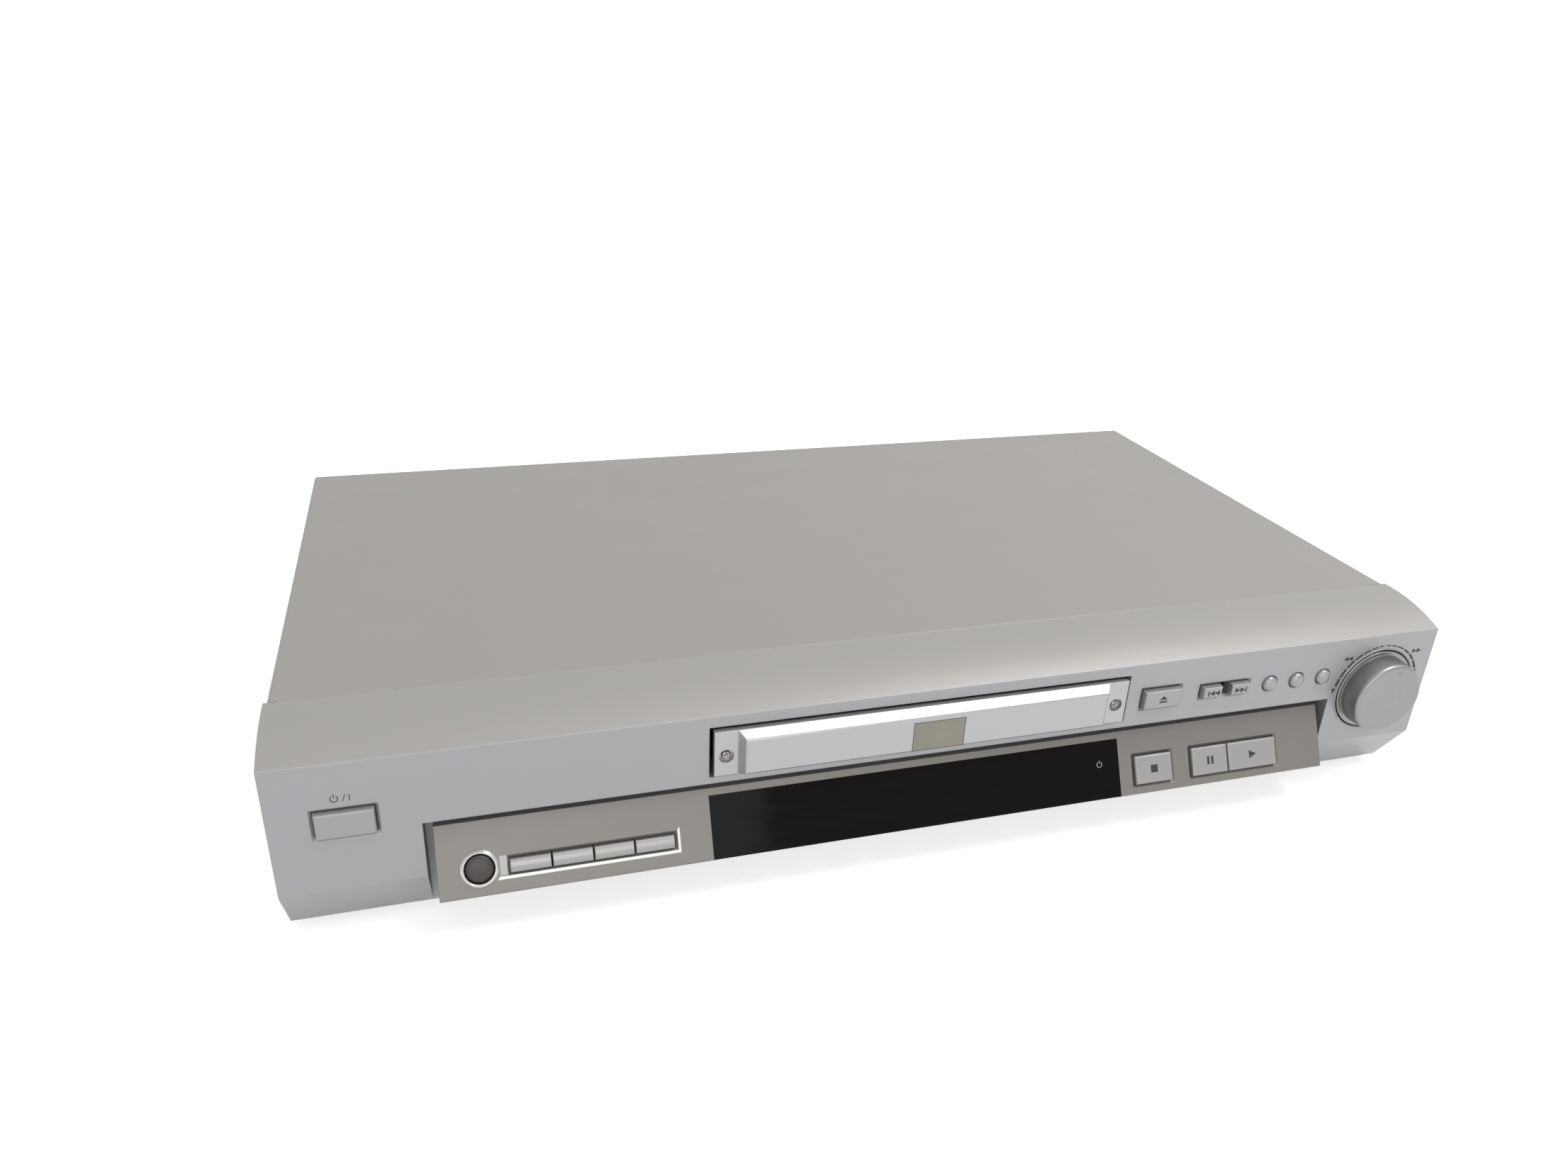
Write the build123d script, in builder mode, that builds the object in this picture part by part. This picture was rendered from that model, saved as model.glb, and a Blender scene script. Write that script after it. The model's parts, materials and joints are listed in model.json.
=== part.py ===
from build123d import *
import math
import os

# A full-width disc player with a loading tray. Lengths are in millimetres.
# x runs to the right of someone facing the player, y runs back, z runs up from the table.
# "Depth" is measured back from the vertical face of the front panel, so what stands proud is negative.

os.makedirs("parts", exist_ok=True)

# ------------------------------------------------------------------ overall sizes
width = 430.0                # front panel, the widest piece
height = 75.0                # table to the top of the cover
face_y = -120.0              # y of the vertical face
foot_height = 4.5
foot_radius = 15.0

running = 0.1                # radial clearance of a shaft in its bearing
slip = 0.3                   # clearance round anything that slides
seam = 0.4                   # visible joint between the front panel and the cover

screw_sides = 6              # small round things are faceted: screws and their holes
post_sides = 8               # posts, bosses and thin shafts
wheel_sides = 12             # wheels, motors and feet
round_sides = 16             # round things that show
large_sides = 40             # the knob and the wells for the discs

# ------------------------------------------------------------------ front panel
wall = 2.5
panel_end = 30.8             # rear edge of the panel
panel_low = 3.5              # underside of the panel
face_low = 22.6              # where the face of the end sections turns under
bevel_depth = 12.0           # depth where that bevel reaches the underside
ridge_z = 69.5               # sharp ridge between the face and the rounded top
crown_depth = 27.0           # depth where the rounded top meets the flat strip

end_face = 44.7              # plain end of the face, beside the recess of the sloped console
recess_half = width / 2 - end_face
recess_top = 43.5
recess_depth = 11.0
recess_wall = 2.0
groove = 2.9                 # open groove between the console and the recess

slot_half = 78.4             # tray slot
slot_low = 46.0
slot_high = 65.4

lip_height = 1.6             # lip under the front edge of the cover
lip_reach = 6.0
lip_margin = 3.0

# ------------------------------------------------------------------ sloped console
console_slope = 25.8         # degrees from vertical
chin_proud = 8.0             # lower edge of the console in front of the face
chin_z = 17.8
console_height = 24.5        # along the slope
console_wall = 2.0
console_heel = 4.6           # height where the underside meets the back of the recess
control_width = 92.1         # recess edge to window, for the buttons on either side of it
window_half = recess_half - control_width
window_height = 22.0
window_thick = 1.2
window_ledge = 4.0

# ------------------------------------------------------------------ sheet metal
floor_thick = 1.0
flange_height = 13.0
flange_thick = 1.0
cover_thick = 0.8
bend_radius = 1.6
rear_thick = 1.0
standoff_top = 12.0          # underside of the boards and of the loader
board_thick = 1.6
screw_radius = 1.4
screw_hole = screw_radius + running
head_radius = 2.8
head_height = 1.6

# ------------------------------------------------------------------ buttons
travel = 1.0                 # how far a button goes in
flange_lip = 1.0
flange_plate = 0.9
pocket_depth = 0.9
pocket_flare = 0.9
edge_round = 0.5
switch_body = 3.5
switch_side = 6.0
plunger_radius = 1.7
plunger_height = 1.2
side_board_depth = 14.0      # front of the circuit boards behind the face
console_board_depth = 9.0    # the same, under the surface of the console

# ------------------------------------------------------------------ loader
loader_front = 15.0
hinge_space = 18.0           # hinge of the pickup deck to the back of the loader
loader_half = 74.0
loader_wall = 2.5
loader_plate = 2.0
channel_floor = 47.7         # ledges that carry the tray
channel_top = 59.5
spindle_depth = 74.0         # centre of the disc

tray_half = 71.0
tray_front_depth = 1.2
tray_back = 180.0
tray_top = 57.5
tray_floor = 51.0
rail_low = 48.0
rail_width = 7.0
disc_well = 60.5             # radius of the well for a 120 mm disc
disc_floor = 54.5
small_well = 41.0            # radius of the well for an 80 mm disc
small_floor = 53.0
tray_skin = 2.0

rack_module = 1.25
rack_line = -60.0            # pitch line of the tray rack
rack_height = 3.0
rack_start = 18.0
drive_teeth = 16
wheel_module = 1.0
wheel_teeth = 22
pinion_teeth = 12
backlash = 0.3
gear_depth = 27.0            # all the gear centres
shelf_top = 34.0
gear_low = shelf_top + slip
wheel_thick = 5.0
pulley_low = 42.0
pulley_thick = 4.0
pulley_radius = 10.5
pulley_groove = 1.5
belt_thick = 1.2
belt_height = 1.8
belt_reach = 39.0            # motor shaft to the pulley gear
motor_pulley_radius = 3.7
motor_radius = 12.2
motor_height = 12.3
post_radius = 2.0

# ------------------------------------------------------------------ pickup deck
hinge_z = 41.0
deck_drop = 5.0              # degrees below level when the deck is down
hinge_radius = 2.5
lifter_half = 50.0
lifter_reach = 139.0         # hinge to the front of the lifter
lifter_bar = 6.0
lifter_thick = 6.0
spindle_reach = 114.0        # hinge to the spindle
cam_pin_radius = 1.5
cam_pin_x = 22.0
cam_travel = 26.0
slider_depth = 41.5
slider_thick = 3.0
slider_low = 23.7
slider_high = 45.4
deck_plate_low = 4.0         # height of the steel plate above the hinge line
deck_plate_thick = 1.2
rod_x = 27.0
rod_radius = 1.5
rod_height = 7.0
pickup_inner = 24.0          # lens radius on the disc at each end of its travel
pickup_outer = 58.0
screw_x = -37.0
screw_height = 4.5
lead_radius = 1.5
hinge_depth = spindle_depth + spindle_reach
loader_back = hinge_depth + hinge_space
cable_space = 33.5           # behind the loader, for the cable that crosses there
cover_back = loader_back + cable_space   # rear edge of the cover
turntable_radius = 16.5
turntable_seat = 15.5
hub_radius = 7.4
bridge_z = 65.0
bridge_thick = 1.2
clamper_low = 58.0

# ------------------------------------------------------------------ shuttle knob
knob_inset = 23.9            # centre to the end of the panel
knob_x = width / 2 - knob_inset
knob_z = 45.5
knob_hole = 17.3
knob_proud = 8.8
knob_radius = 14.8
knob_foot = 15.2
knob_bevel = 1.2


# ------------------------------------------------------------------ workplanes
def front(depth=0.0):
    """Seen from the front: x to the right, y of the sketch up, extrusion towards the viewer."""
    return Plane(origin=(0, face_y + depth, 0), x_dir=(1, 0, 0), z_dir=(0, -1, 0))


def plan(z=0.0):
    """Seen from above: x to the right, y of the sketch is the depth."""
    return Plane(origin=(0, face_y, z), x_dir=(1, 0, 0), z_dir=(0, 0, 1))


def side(x=0.0):
    """Side profile: x of the sketch is the depth, y of the sketch is the height."""
    return Plane(origin=(x, face_y, 0), x_dir=(0, 1, 0), z_dir=(1, 0, 0))


def console(out=0.0):
    """On the slope of the console: y of the sketch runs up the slope from its lower edge."""
    slope = math.radians(console_slope)
    normal = Vector(0, -math.cos(slope), math.sin(slope))
    foot = Vector(0, face_y - chin_proud, chin_z)
    return Plane(origin=foot + normal * out, x_dir=(1, 0, 0), z_dir=normal)


def deck(up=0.0):
    """On the lowered deck: y of the sketch runs back along it from the hinge line."""
    drop = math.radians(deck_drop)
    normal = Vector(0, -math.sin(drop), math.cos(drop))
    hinge = Vector(0, face_y + hinge_depth, hinge_z)
    return Plane(origin=hinge + normal * up, x_dir=(1, 0, 0), z_dir=normal)


def deck_end(ahead):
    """Square across the lowered deck, ahead of the hinge: y of the sketch is the height above it."""
    level = deck()
    origin = level.origin - level.y_dir * ahead
    return Plane(origin=origin, x_dir=(1, 0, 0), z_dir=-level.y_dir)


# ------------------------------------------------------------------ small helpers
def slab(plane, left, right, low, high, thick, mode=Mode.ADD):
    """A rectangular wall given by its edges on a plane."""
    with BuildSketch(plane) as outline:
        with Locations(((left + right) / 2, (low + high) / 2)):
            Rectangle(right - left, high - low)
    extrude(outline.sketch, amount=thick, mode=mode)


def drum(plane, spots, radius, thick, mode=Mode.ADD, sides=0):
    """Round or faceted bosses, or holes, at one or more places on a plane.

    A faceted boss has its corners on the radius and a faceted hole its flats, so a shaft clears its bore."""
    with BuildSketch(plane) as outline:
        with Locations(*spots):
            if sides:
                RegularPolygon(radius, sides, major_radius=mode == Mode.ADD)
            else:
                Circle(radius)
    extrude(outline.sketch, amount=thick, mode=mode)


def block(plane, centre, size, thick, mode=Mode.ADD, taper=0.0):
    """A block given by its middle and size on a plane, drafted if a taper is given."""
    with BuildSketch(plane) as outline:
        with Locations(centre):
            Rectangle(*size)
    extrude(outline.sketch, amount=thick, taper=taper, mode=mode)


def share(low, high, part):
    """A place part of the way from low to high."""
    return low + part * (high - low)


def pocket(plane_at, centre, size, skin):
    """A button opening with flared edges, cut right through a wall of the given thickness."""
    flare = 2 * pocket_flare
    with BuildSketch(plane_at(0)) as mouth:
        with Locations(centre):
            Rectangle(size[0] + flare, size[1] + flare)
    with BuildSketch(plane_at(-pocket_depth)) as floor:
        with Locations(centre):
            Rectangle(*size)
    loft([mouth.sketch.face(), floor.sketch.face()], mode=Mode.SUBTRACT)
    cx, cy = centre
    slab(plane_at(-skin - 1), cx - size[0] / 2, cx + size[0] / 2, cy - size[1] / 2, cy + size[1] / 2,
         skin + 1, Mode.SUBTRACT)


def face_out(out=0.0):
    """The face of the front panel, moved out towards the viewer."""
    return front(-out)


def save(part, name):
    part.label = name
    export_step(part, f"parts/{name}.step")


# ------------------------------------------------------------------ button table
power_x = -(width / 2 - 22.55)
row_start = slot_half
row_end = knob_x - knob_hole
row_z = 54.5

# centre, size and how far it stands proud; the row right of the tray slot spreads out up to the knob
face_buttons = {
    "power_button": ((power_x, 47.75), (17.9, 9.3), 1.5),
    "open_button": ((share(row_start, row_end, 0.149), row_z), (15.4, 7.6), 2.0),
    "skip_back_button": ((share(row_start, row_end, 0.374), row_z), (8.2, 4.7), 2.0),
    "skip_forward_button": ((share(row_start, row_end, 0.502), row_z), (8.2, 4.7), 2.0),
}
round_buttons = {
    "shuffle_button": (share(row_start, row_end, 0.650), row_z - 0.2),
    "repeat_button": (share(row_start, row_end, 0.777), row_z - 0.2),
    "segment_button": (share(row_start, row_end, 0.9035), row_z - 0.2),
}
round_radius = 3.1
round_proud = 1.8
round_bevel = 0.9
wide_up = 9.0                # the transport and memory buttons, up the slope
mode_up = 8.6
mode_size = (13.1, 4.4)
mode_pitch = 13.55
mode_start = -(recess_half - 32.0)
console_buttons = {
    "stop_button": ((recess_half - 77.85, wide_up), (15.6, 10.7)),
    "pause_button": ((recess_half - 53.3, wide_up), (15.5, 10.7)),
    "play_button": ((recess_half - 34.3, wide_up), (21.5, 10.7)),
}
mode_names = [f"mode_button_{n}" for n in range(1, 5)]
for n, name in enumerate(mode_names):
    console_buttons[name] = ((mode_start + n * mode_pitch, mode_up), mode_size)
console_proud = 1.0
memory_centre = (-(recess_half - 15.9), wide_up)
memory_radius = 4.6
memory_proud = 0.9
memory_bevel = 0.5
memory_ring = 6.2


def group_box(names, clearance=slip):
    """The centre and size of one opening round a row of buttons."""
    boxes = [console_buttons.get(n) or face_buttons[n][:2] for n in names]
    left = min(c[0] - s[0] / 2 for c, s in boxes) - clearance
    right = max(c[0] + s[0] / 2 for c, s in boxes) + clearance
    low = min(c[1] - s[1] / 2 for c, s in boxes) - clearance
    high = max(c[1] + s[1] / 2 for c, s in boxes) + clearance
    return ((left + right) / 2, (low + high) / 2), (right - left, high - low)


face_openings = [["power_button"], ["open_button"], ["skip_back_button", "skip_forward_button"]]
console_openings = [["stop_button"], ["pause_button", "play_button"], mode_names]

# ------------------------------------------------------------------ front panel
pod_half = recess_half + recess_wall
pod_top = recess_top + recess_wall
pod_back = recess_depth + recess_wall
post_radius_front = 3.0
board_posts = [(power_x, 60.0), (power_x, 35.0), (slot_half + 8.6, 64.0), (width / 2 - 6.5, 64.0),
               (width / 2 - 9.0, 28.5)]
clip_spots = [turn * (width / 2 - inset) for turn in (-1, 1) for inset in (25.0, 105.0)]
clip_width = 10.0

with BuildPart() as front_panel:
    with BuildSketch(side(-width / 2)) as shell_profile:
        with BuildLine():
            Polyline((crown_depth, height), (panel_end, height), (panel_end, panel_low),
                     (bevel_depth, panel_low), (0, face_low), (0, ridge_z))
            TangentArc((crown_depth, height), (0, ridge_z), tangent=(-1, 0))
        make_face()
    extrude(amount=width)
    with BuildSketch(side(-width / 2 + wall)) as cavity:
        add(shell_profile.sketch_local)
        offset(amount=-wall, kind=Kind.INTERSECTION)
        with Locations((panel_end, (panel_low + height) / 2)):
            Rectangle(panel_end, height - panel_low - 2 * wall)
    extrude(amount=width - 2 * wall, mode=Mode.SUBTRACT)
    with BuildSketch(side(-pod_half)) as pod:
        with BuildLine():
            Polyline((0, pod_top), (pod_back, pod_top), (pod_back, panel_low),
                     (bevel_depth, panel_low), (0, face_low), close=True)
        make_face()
    extrude(amount=2 * pod_half)
    slab(front(recess_depth), -recess_half, recess_half, 0, recess_top, recess_depth + 1, Mode.SUBTRACT)
    slab(front(pod_back + 1), -recess_half + 12, recess_half - 12, 8, recess_top - 3,
         recess_wall + 2, Mode.SUBTRACT)
    slab(front(wall + 1), -slot_half, slot_half, slot_low, slot_high, wall + 2, Mode.SUBTRACT)
    for names in face_openings:
        middle, size = group_box(names)
        pocket(face_out, middle, size, wall)
    drum(front(wall + 1), round_buttons.values(), round_radius + slip, wall + 2, Mode.SUBTRACT,
         round_sides)
    drum(front(wall + 1), [(knob_x, knob_z)], knob_hole, wall + 2, Mode.SUBTRACT)
    # lip that the front edge of the cover lies on
    slab(plan(height - cover_thick - 0.2 - lip_height), -width / 2 + lip_margin, width / 2 - lip_margin,
         panel_end - wall, panel_end + lip_reach, lip_height)
    # posts for the boards, and tongues that catch under the chassis front
    drum(front(side_board_depth), board_posts, post_radius_front, side_board_depth - wall / 2,
         sides=post_sides)
    drum(front(side_board_depth), board_posts, screw_hole, 8.0, Mode.SUBTRACT, screw_sides)
    for x in clip_spots:
        slab(plan(panel_low + wall), x - clip_width / 2, x + clip_width / 2, panel_end - 4,
             panel_end + 7, 2.0)
save(front_panel.part, "front_panel")

# ------------------------------------------------------------------ console
console_half = recess_half - groove
slope_rad = math.radians(console_slope)
console_top = (-chin_proud + console_height * math.sin(slope_rad),
               chin_z + console_height * math.cos(slope_rad))

with BuildPart() as console_plate:
    with BuildSketch(side(-console_half)) as wedge:
        with BuildLine():
            Polyline(console_top, (-chin_proud, chin_z), (recess_depth, console_heel),
                     (recess_depth, console_top[1]), close=True)
        make_face()
    extrude(amount=2 * console_half)
    nose = console_plate.edges().filter_by(Axis.X).sort_by(Axis.Y)
    fillet(nose[0], edge_round)
    with BuildSketch(side(-console_half + console_wall)) as hollow:
        add(wedge.sketch_local)
        offset(amount=-console_wall, kind=Kind.INTERSECTION)
        low = console_heel + 2 * console_wall
        high = console_top[1] - console_wall
        with Locations((recess_depth, (low + high) / 2)):
            Rectangle(2 * console_wall + 2, high - low)
    extrude(amount=2 * (console_half - console_wall), mode=Mode.SUBTRACT)
    slab(console(-window_thick), -window_half, window_half, -2, window_height, window_thick + 2,
         Mode.SUBTRACT)
    slab(console(-console_wall - 1), -window_half + window_ledge, window_half - window_ledge,
         window_ledge, window_height - window_ledge, console_wall + 2, Mode.SUBTRACT)
    for names in console_openings:
        middle, size = group_box(names)
        pocket(console, middle, size, console_wall)
    # raised conical ring round the memory button
    with BuildSketch(console(-0.5)) as ring:
        with Locations(memory_centre):
            RegularPolygon(memory_ring, round_sides)
    extrude(amount=1.3, taper=35)
    drum(console(-console_wall - 1), [memory_centre], memory_radius + slip, console_wall + 3,
         Mode.SUBTRACT, round_sides)
save(console_plate.part, "console_plate")

with BuildPart() as display_window:
    slab(console(-window_thick), -window_half + 0.05, window_half - 0.05, 0, window_height - 0.05,
         window_thick)
    fillet(display_window.edges().filter_by(Axis.X).sort_by(Axis.Y)[0], edge_round)
save(display_window.part, "display_window")

# ------------------------------------------------------------------ push buttons
face_stem = side_board_depth - switch_body - plunger_height - travel - 0.2
console_stem = console_board_depth - switch_body - plunger_height - travel - 0.2


def lips(name, centre):
    """Left and right reach of the retaining flange, none where a neighbour shares the opening."""
    row = next((n for n in face_openings + console_openings if name in n), [name])
    left = flange_lip if name == row[0] else 0
    right = flange_lip if name == row[-1] else 0
    return left, right


def push_button(name, plane_at, centre, size, proud, skin, stem):
    cx, cy = centre
    w, h = size
    left, right = lips(name, centre)
    with BuildPart() as button:
        block(plane_at(0), centre, size, proud, taper=7)
        top = button.faces().sort_by(Axis(plane_at(0).origin, plane_at(0).z_dir))[-1]
        chamfer(top.edges(), edge_round * 0.8)
        block(plane_at(-skin - slip), centre, size, skin + slip)
        slab(plane_at(-skin - slip - flange_plate), cx - w / 2 - left, cx + w / 2 + right,
             cy - h / 2 - flange_lip, cy + h / 2 + flange_lip, flange_plate)
        if stem > skin + slip + flange_plate:
            drum(plane_at(-stem), [centre], plunger_radius, stem - skin - slip, sides=screw_sides)
    save(button.part, name)


for name, (centre, size, proud) in face_buttons.items():
    push_button(name, face_out, centre, size, proud, wall, face_stem)
for name, (centre, size) in console_buttons.items():
    push_button(name, console, centre, size, console_proud, console_wall, console_stem)


def turned_button(name, plane_at, centre, radius, proud, bevel, skin, stem):
    """A round button: a bevelled cap on a stem, with a flange behind the wall."""
    back = skin + slip
    with BuildPart() as button:
        drum(plane_at(-back), [centre], radius, back + proud, sides=round_sides)
        top = button.faces().sort_by(Axis(plane_at(0).origin, plane_at(0).z_dir))[-1]
        chamfer(top.edges(), bevel)
        drum(plane_at(-back - flange_plate), [centre], radius + flange_lip, flange_plate, sides=post_sides)
        drum(plane_at(-stem), [centre], plunger_radius, stem - back, sides=screw_sides)
    save(button.part, name)


for name, centre in round_buttons.items():
    turned_button(name, face_out, centre, round_radius, round_proud, round_bevel, wall, face_stem)
turned_button("memory_button", console, memory_centre, memory_radius, memory_proud, memory_bevel,
              console_wall, console_stem)

# ------------------------------------------------------------------ shuttle knob
shaft_radius = 3.0
encoder_front = 6.5
skirt_radius = knob_hole - slip - 0.2
knob_skin = 2.4              # face and side walls of the hollow knob
knob_spot = [(knob_x, knob_z)]
with BuildPart() as shuttle_knob:
    for depth, radius in ((-0.4, knob_foot), (knob_bevel - knob_proud, knob_radius),
                          (-knob_proud, knob_radius - knob_bevel)):
        with BuildSketch(front(depth)):
            with Locations(*knob_spot):
                RegularPolygon(radius, large_sides)
    loft(ruled=True)
    drum(front(wall), knob_spot, skirt_radius, wall + 0.4, sides=round_sides)
    drum(front(wall), knob_spot, knob_radius - knob_skin, wall + knob_proud - knob_skin, Mode.SUBTRACT,
         large_sides)
    drum(front(encoder_front + 5), knob_spot, shaft_radius, encoder_front + 6 + knob_proud - knob_skin)
    # finger dimple near the rim
    drum(front(-knob_proud + 0.8), [(knob_x + 2.6, knob_z + knob_radius - 3.1)], 1.1, 2.0, Mode.SUBTRACT,
         post_sides)
save(shuttle_knob.part, "shuttle_knob")

with BuildPart() as shuttle_encoder:
    block(front(side_board_depth), (knob_x, knob_z), (16, 16), side_board_depth - encoder_front - 1)
    drum(front(encoder_front + 1), knob_spot, shaft_radius + 1.6, 2.4, sides=post_sides)
    drum(front(side_board_depth + 1), knob_spot, shaft_radius + running, side_board_depth,
         Mode.SUBTRACT, post_sides)
save(shuttle_encoder.part, "shuttle_encoder")

# ------------------------------------------------------------------ boards behind the front
display_half = window_half - 23.2
with BuildPart() as display_tube:
    block(console(-console_board_depth), (0, window_height / 2), (2 * display_half, 16), 5.5)
    drum(console(-console_board_depth + 2.7), [(display_half, window_height / 2)], 1.6, 2.4,
         sides=post_sides)
save(display_tube.part, "display_tube")

board_half = recess_half - 14.5
with BuildPart() as console_board:
    slab(console(-console_board_depth - board_thick), -board_half, board_half, 1.5, 22.5, board_thick)
save(console_board.part, "console_board")

with BuildPart() as tact_switches:
    face_spots = [b[0] for b in face_buttons.values()] + list(round_buttons.values())
    console_spots = [b[0] for b in console_buttons.values()] + [memory_centre]
    for plane_at, spots, board in [(face_out, face_spots, side_board_depth),
                                   (console, console_spots, console_board_depth)]:
        for x, y in spots:
            slab(plane_at(-board), x - switch_side / 2, x + switch_side / 2, y - switch_side / 2,
                 y + switch_side / 2, switch_body)
        drum(plane_at(-board + switch_body), spots, plunger_radius, plunger_height, sides=screw_sides)
save(tact_switches.part, "tact_switches")

board_side = loader_half + 10    # the boards in the case start here, beside the loader
board_end = width / 2 - 7
board_middle = (board_side + board_end) / 2
ribbon_x = board_middle + 4
ribbon_width = 12.0
ribbon_thick = 0.6
plug_height = 3.6
with BuildPart() as switch_boards:
    back = side_board_depth + board_thick
    slab(front(back), power_x - 11.6, power_x + 12.4, 31.0, 64.0, board_thick)
    with BuildSketch(front(back)) as control:
        with BuildLine():
            left, right, step = slot_half + 4.1, width / 2 - 3, pod_half + 1.7
            low, high, middle = 25, 68, pod_top + 1.5
            Polyline((left, middle), (left, high), (right, high), (right, low), (step, low),
                     (step, middle), close=True)
        make_face()
    extrude(amount=board_thick)
    slab(front(back + plug_height), ribbon_x - 8, ribbon_x + 8, 53, 59, plug_height)
    drum(front(back + 1), board_posts, screw_hole, 4, Mode.SUBTRACT, screw_sides)
save(switch_boards.part, "switch_boards")

# ------------------------------------------------------------------ bottom chassis
chassis_front = panel_end + seam
chassis_half = width / 2 - 1.9
floor_z = foot_height + floor_thick
rear_inner = cover_back - cover_thick - rear_thick
chassis_depth = rear_inner - chassis_front
foot_x = width / 2 - 43
foot_spots = [(x, d) for x in (-foot_x, foot_x) for d in (52.0, cover_back - 25.5)]
loader_feet = [(x, d) for x in (8 - loader_half, loader_half - 8) for d in (38.0, loader_back - 8)]
main_board_box = (board_side, board_end, 58.0, rear_inner - 3.7)
power_board_box = (-board_end, -board_side, 44.0, rear_inner - 5.7)
board_inset = 6.0


def corners(box, inset):
    left, right, near, far = box
    return [(x, d) for x in (left + inset, right - inset) for d in (near + inset, far - inset)]


board_feet = corners(main_board_box, board_inset) + corners(power_board_box, board_inset)
side_screw_depths = (70.0, cover_back - 34.5)
side_screw_z = 13.0
bead_spots = [turn * (width / 2 - inset) for turn in (-1, 1) for inset in (65.0, 105.0)]
bead_length = chassis_depth - 76.5
bead_width = 9.0
bead_drop = 1.5
bead_wall = 0.8
front_flange_start = board_side - 2
front_flange_height = 38.0

with BuildPart() as bottom_chassis:
    slab(plan(foot_height), -chassis_half, chassis_half, chassis_front, rear_inner, floor_thick)
    for x in (-chassis_half, chassis_half - flange_thick):
        slab(plan(floor_z), x, x + flange_thick, chassis_front, rear_inner, flange_height)
    for x in (-chassis_half, front_flange_start):
        slab(plan(floor_z), x, x + chassis_half - front_flange_start, chassis_front,
             chassis_front + flange_thick, front_flange_height)
    # stiffening beads pressed down into the floor, open above
    for x in bead_spots:
        middle = (x, chassis_front + chassis_depth / 2)
        block(plan(foot_height - bead_drop), middle, (bead_width, bead_length), bead_drop)
        block(plan(foot_height - bead_drop + bead_wall), middle,
              (bead_width - 2 * bead_wall, bead_length - 2 * bead_wall), 3, Mode.SUBTRACT)
    standoffs = board_feet + loader_feet
    drum(plan(floor_z), standoffs, 4.0, standoff_top - floor_z, sides=post_sides)
    drum(plan(foot_height), standoffs, screw_hole, 10.0, Mode.SUBTRACT, screw_sides)
    drum(plan(foot_height - 1), foot_spots, screw_hole, 3.0, Mode.SUBTRACT, screw_sides)
    for x in clip_spots:
        slab(front(chassis_front + 2), x - clip_width / 2 - 0.5, x + clip_width / 2 + 0.5, floor_z,
             floor_z + 3.2, 4.0, Mode.SUBTRACT)
    side_screws = [(d, side_screw_z) for d in side_screw_depths]
    drum(side(-width / 2), side_screws, screw_hole, width, Mode.SUBTRACT, screw_sides)
save(bottom_chassis.part, "bottom_chassis")

# ------------------------------------------------------------------ top cover
cover_front = panel_end + seam
cover_half = width / 2 - 0.8
cover_low = foot_height + 0.5
rear_screw_x = (35 - width / 2, 0.0, width / 2 - 35)
rear_screw_z = 69.5
fold_low = 65.5

with BuildPart() as top_cover:
    with BuildSketch(front(cover_back)):
        with BuildLine():
            FilletPolyline((-cover_half, cover_low), (-cover_half, height), (cover_half, height),
                           (cover_half, cover_low), radius=bend_radius)
            Line((cover_half, cover_low), (-cover_half, cover_low))
        make_face()
        inner = cover_half - cover_thick
        with BuildLine(mode=Mode.PRIVATE) as inside:
            FilletPolyline((-inner, cover_low - 1), (-inner, height - cover_thick),
                           (inner, height - cover_thick), (inner, cover_low - 1),
                           radius=bend_radius - cover_thick)
            Line((inner, cover_low - 1), (-inner, cover_low - 1))
        make_face(inside.edges(), mode=Mode.SUBTRACT)
    extrude(amount=cover_back - cover_front)
    slab(front(cover_back), -cover_half + 6, cover_half - 6, fold_low, height - cover_thick / 2,
         cover_thick)
    drum(front(cover_back + 1), [(x, rear_screw_z) for x in rear_screw_x], screw_hole, 3.0,
         Mode.SUBTRACT, screw_sides)
    drum(side(-width / 2), side_screws, screw_hole, width, Mode.SUBTRACT, screw_sides)
    # cooling slots low on both sides
    with BuildSketch(side(-width / 2)) as vents:
        with Locations((150.0, 40.0)):
            with GridLocations(7.0, 1.0, 6, 1):
                Rectangle(3, 22)
    extrude(amount=width, mode=Mode.SUBTRACT)
save(top_cover.part, "top_cover")

with BuildPart() as cover_screws:
    for d in side_screw_depths:
        for turn, x in ((1, cover_half), (-1, -cover_half)):
            outer = Plane(origin=(x, face_y + d, side_screw_z), x_dir=(0, 1, 0), z_dir=(turn, 0, 0))
            drum(outer, [(0, 0)], head_radius, width / 2 - cover_half, sides=post_sides)
            drum(outer.offset(-4.0), [(0, 0)], screw_radius, 4.0, sides=screw_sides)
    for x in rear_screw_x:
        drum(front(cover_back + head_height), [(x, rear_screw_z)], head_radius, head_height,
             sides=post_sides)
        drum(front(cover_back), [(x, rear_screw_z)], screw_radius, 5.0, sides=screw_sides)
save(cover_screws.part, "cover_screws")

foot_bevel = 1.2
screw_sink = 2.5             # up inside the foot to the head of its screw
with BuildPart() as feet:
    drum(plan(0), foot_spots, foot_radius, foot_height, sides=wheel_sides)
    chamfer(feet.faces().filter_by(Axis.Z).group_by(Axis.Z)[0].edges(), foot_bevel)
    drum(plan(-1), foot_spots, head_radius + 0.8, screw_sink + 1, Mode.SUBTRACT, post_sides)
    drum(plan(-1), foot_spots, screw_hole, foot_height + 2, Mode.SUBTRACT, screw_sides)
save(feet.part, "feet")

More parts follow.
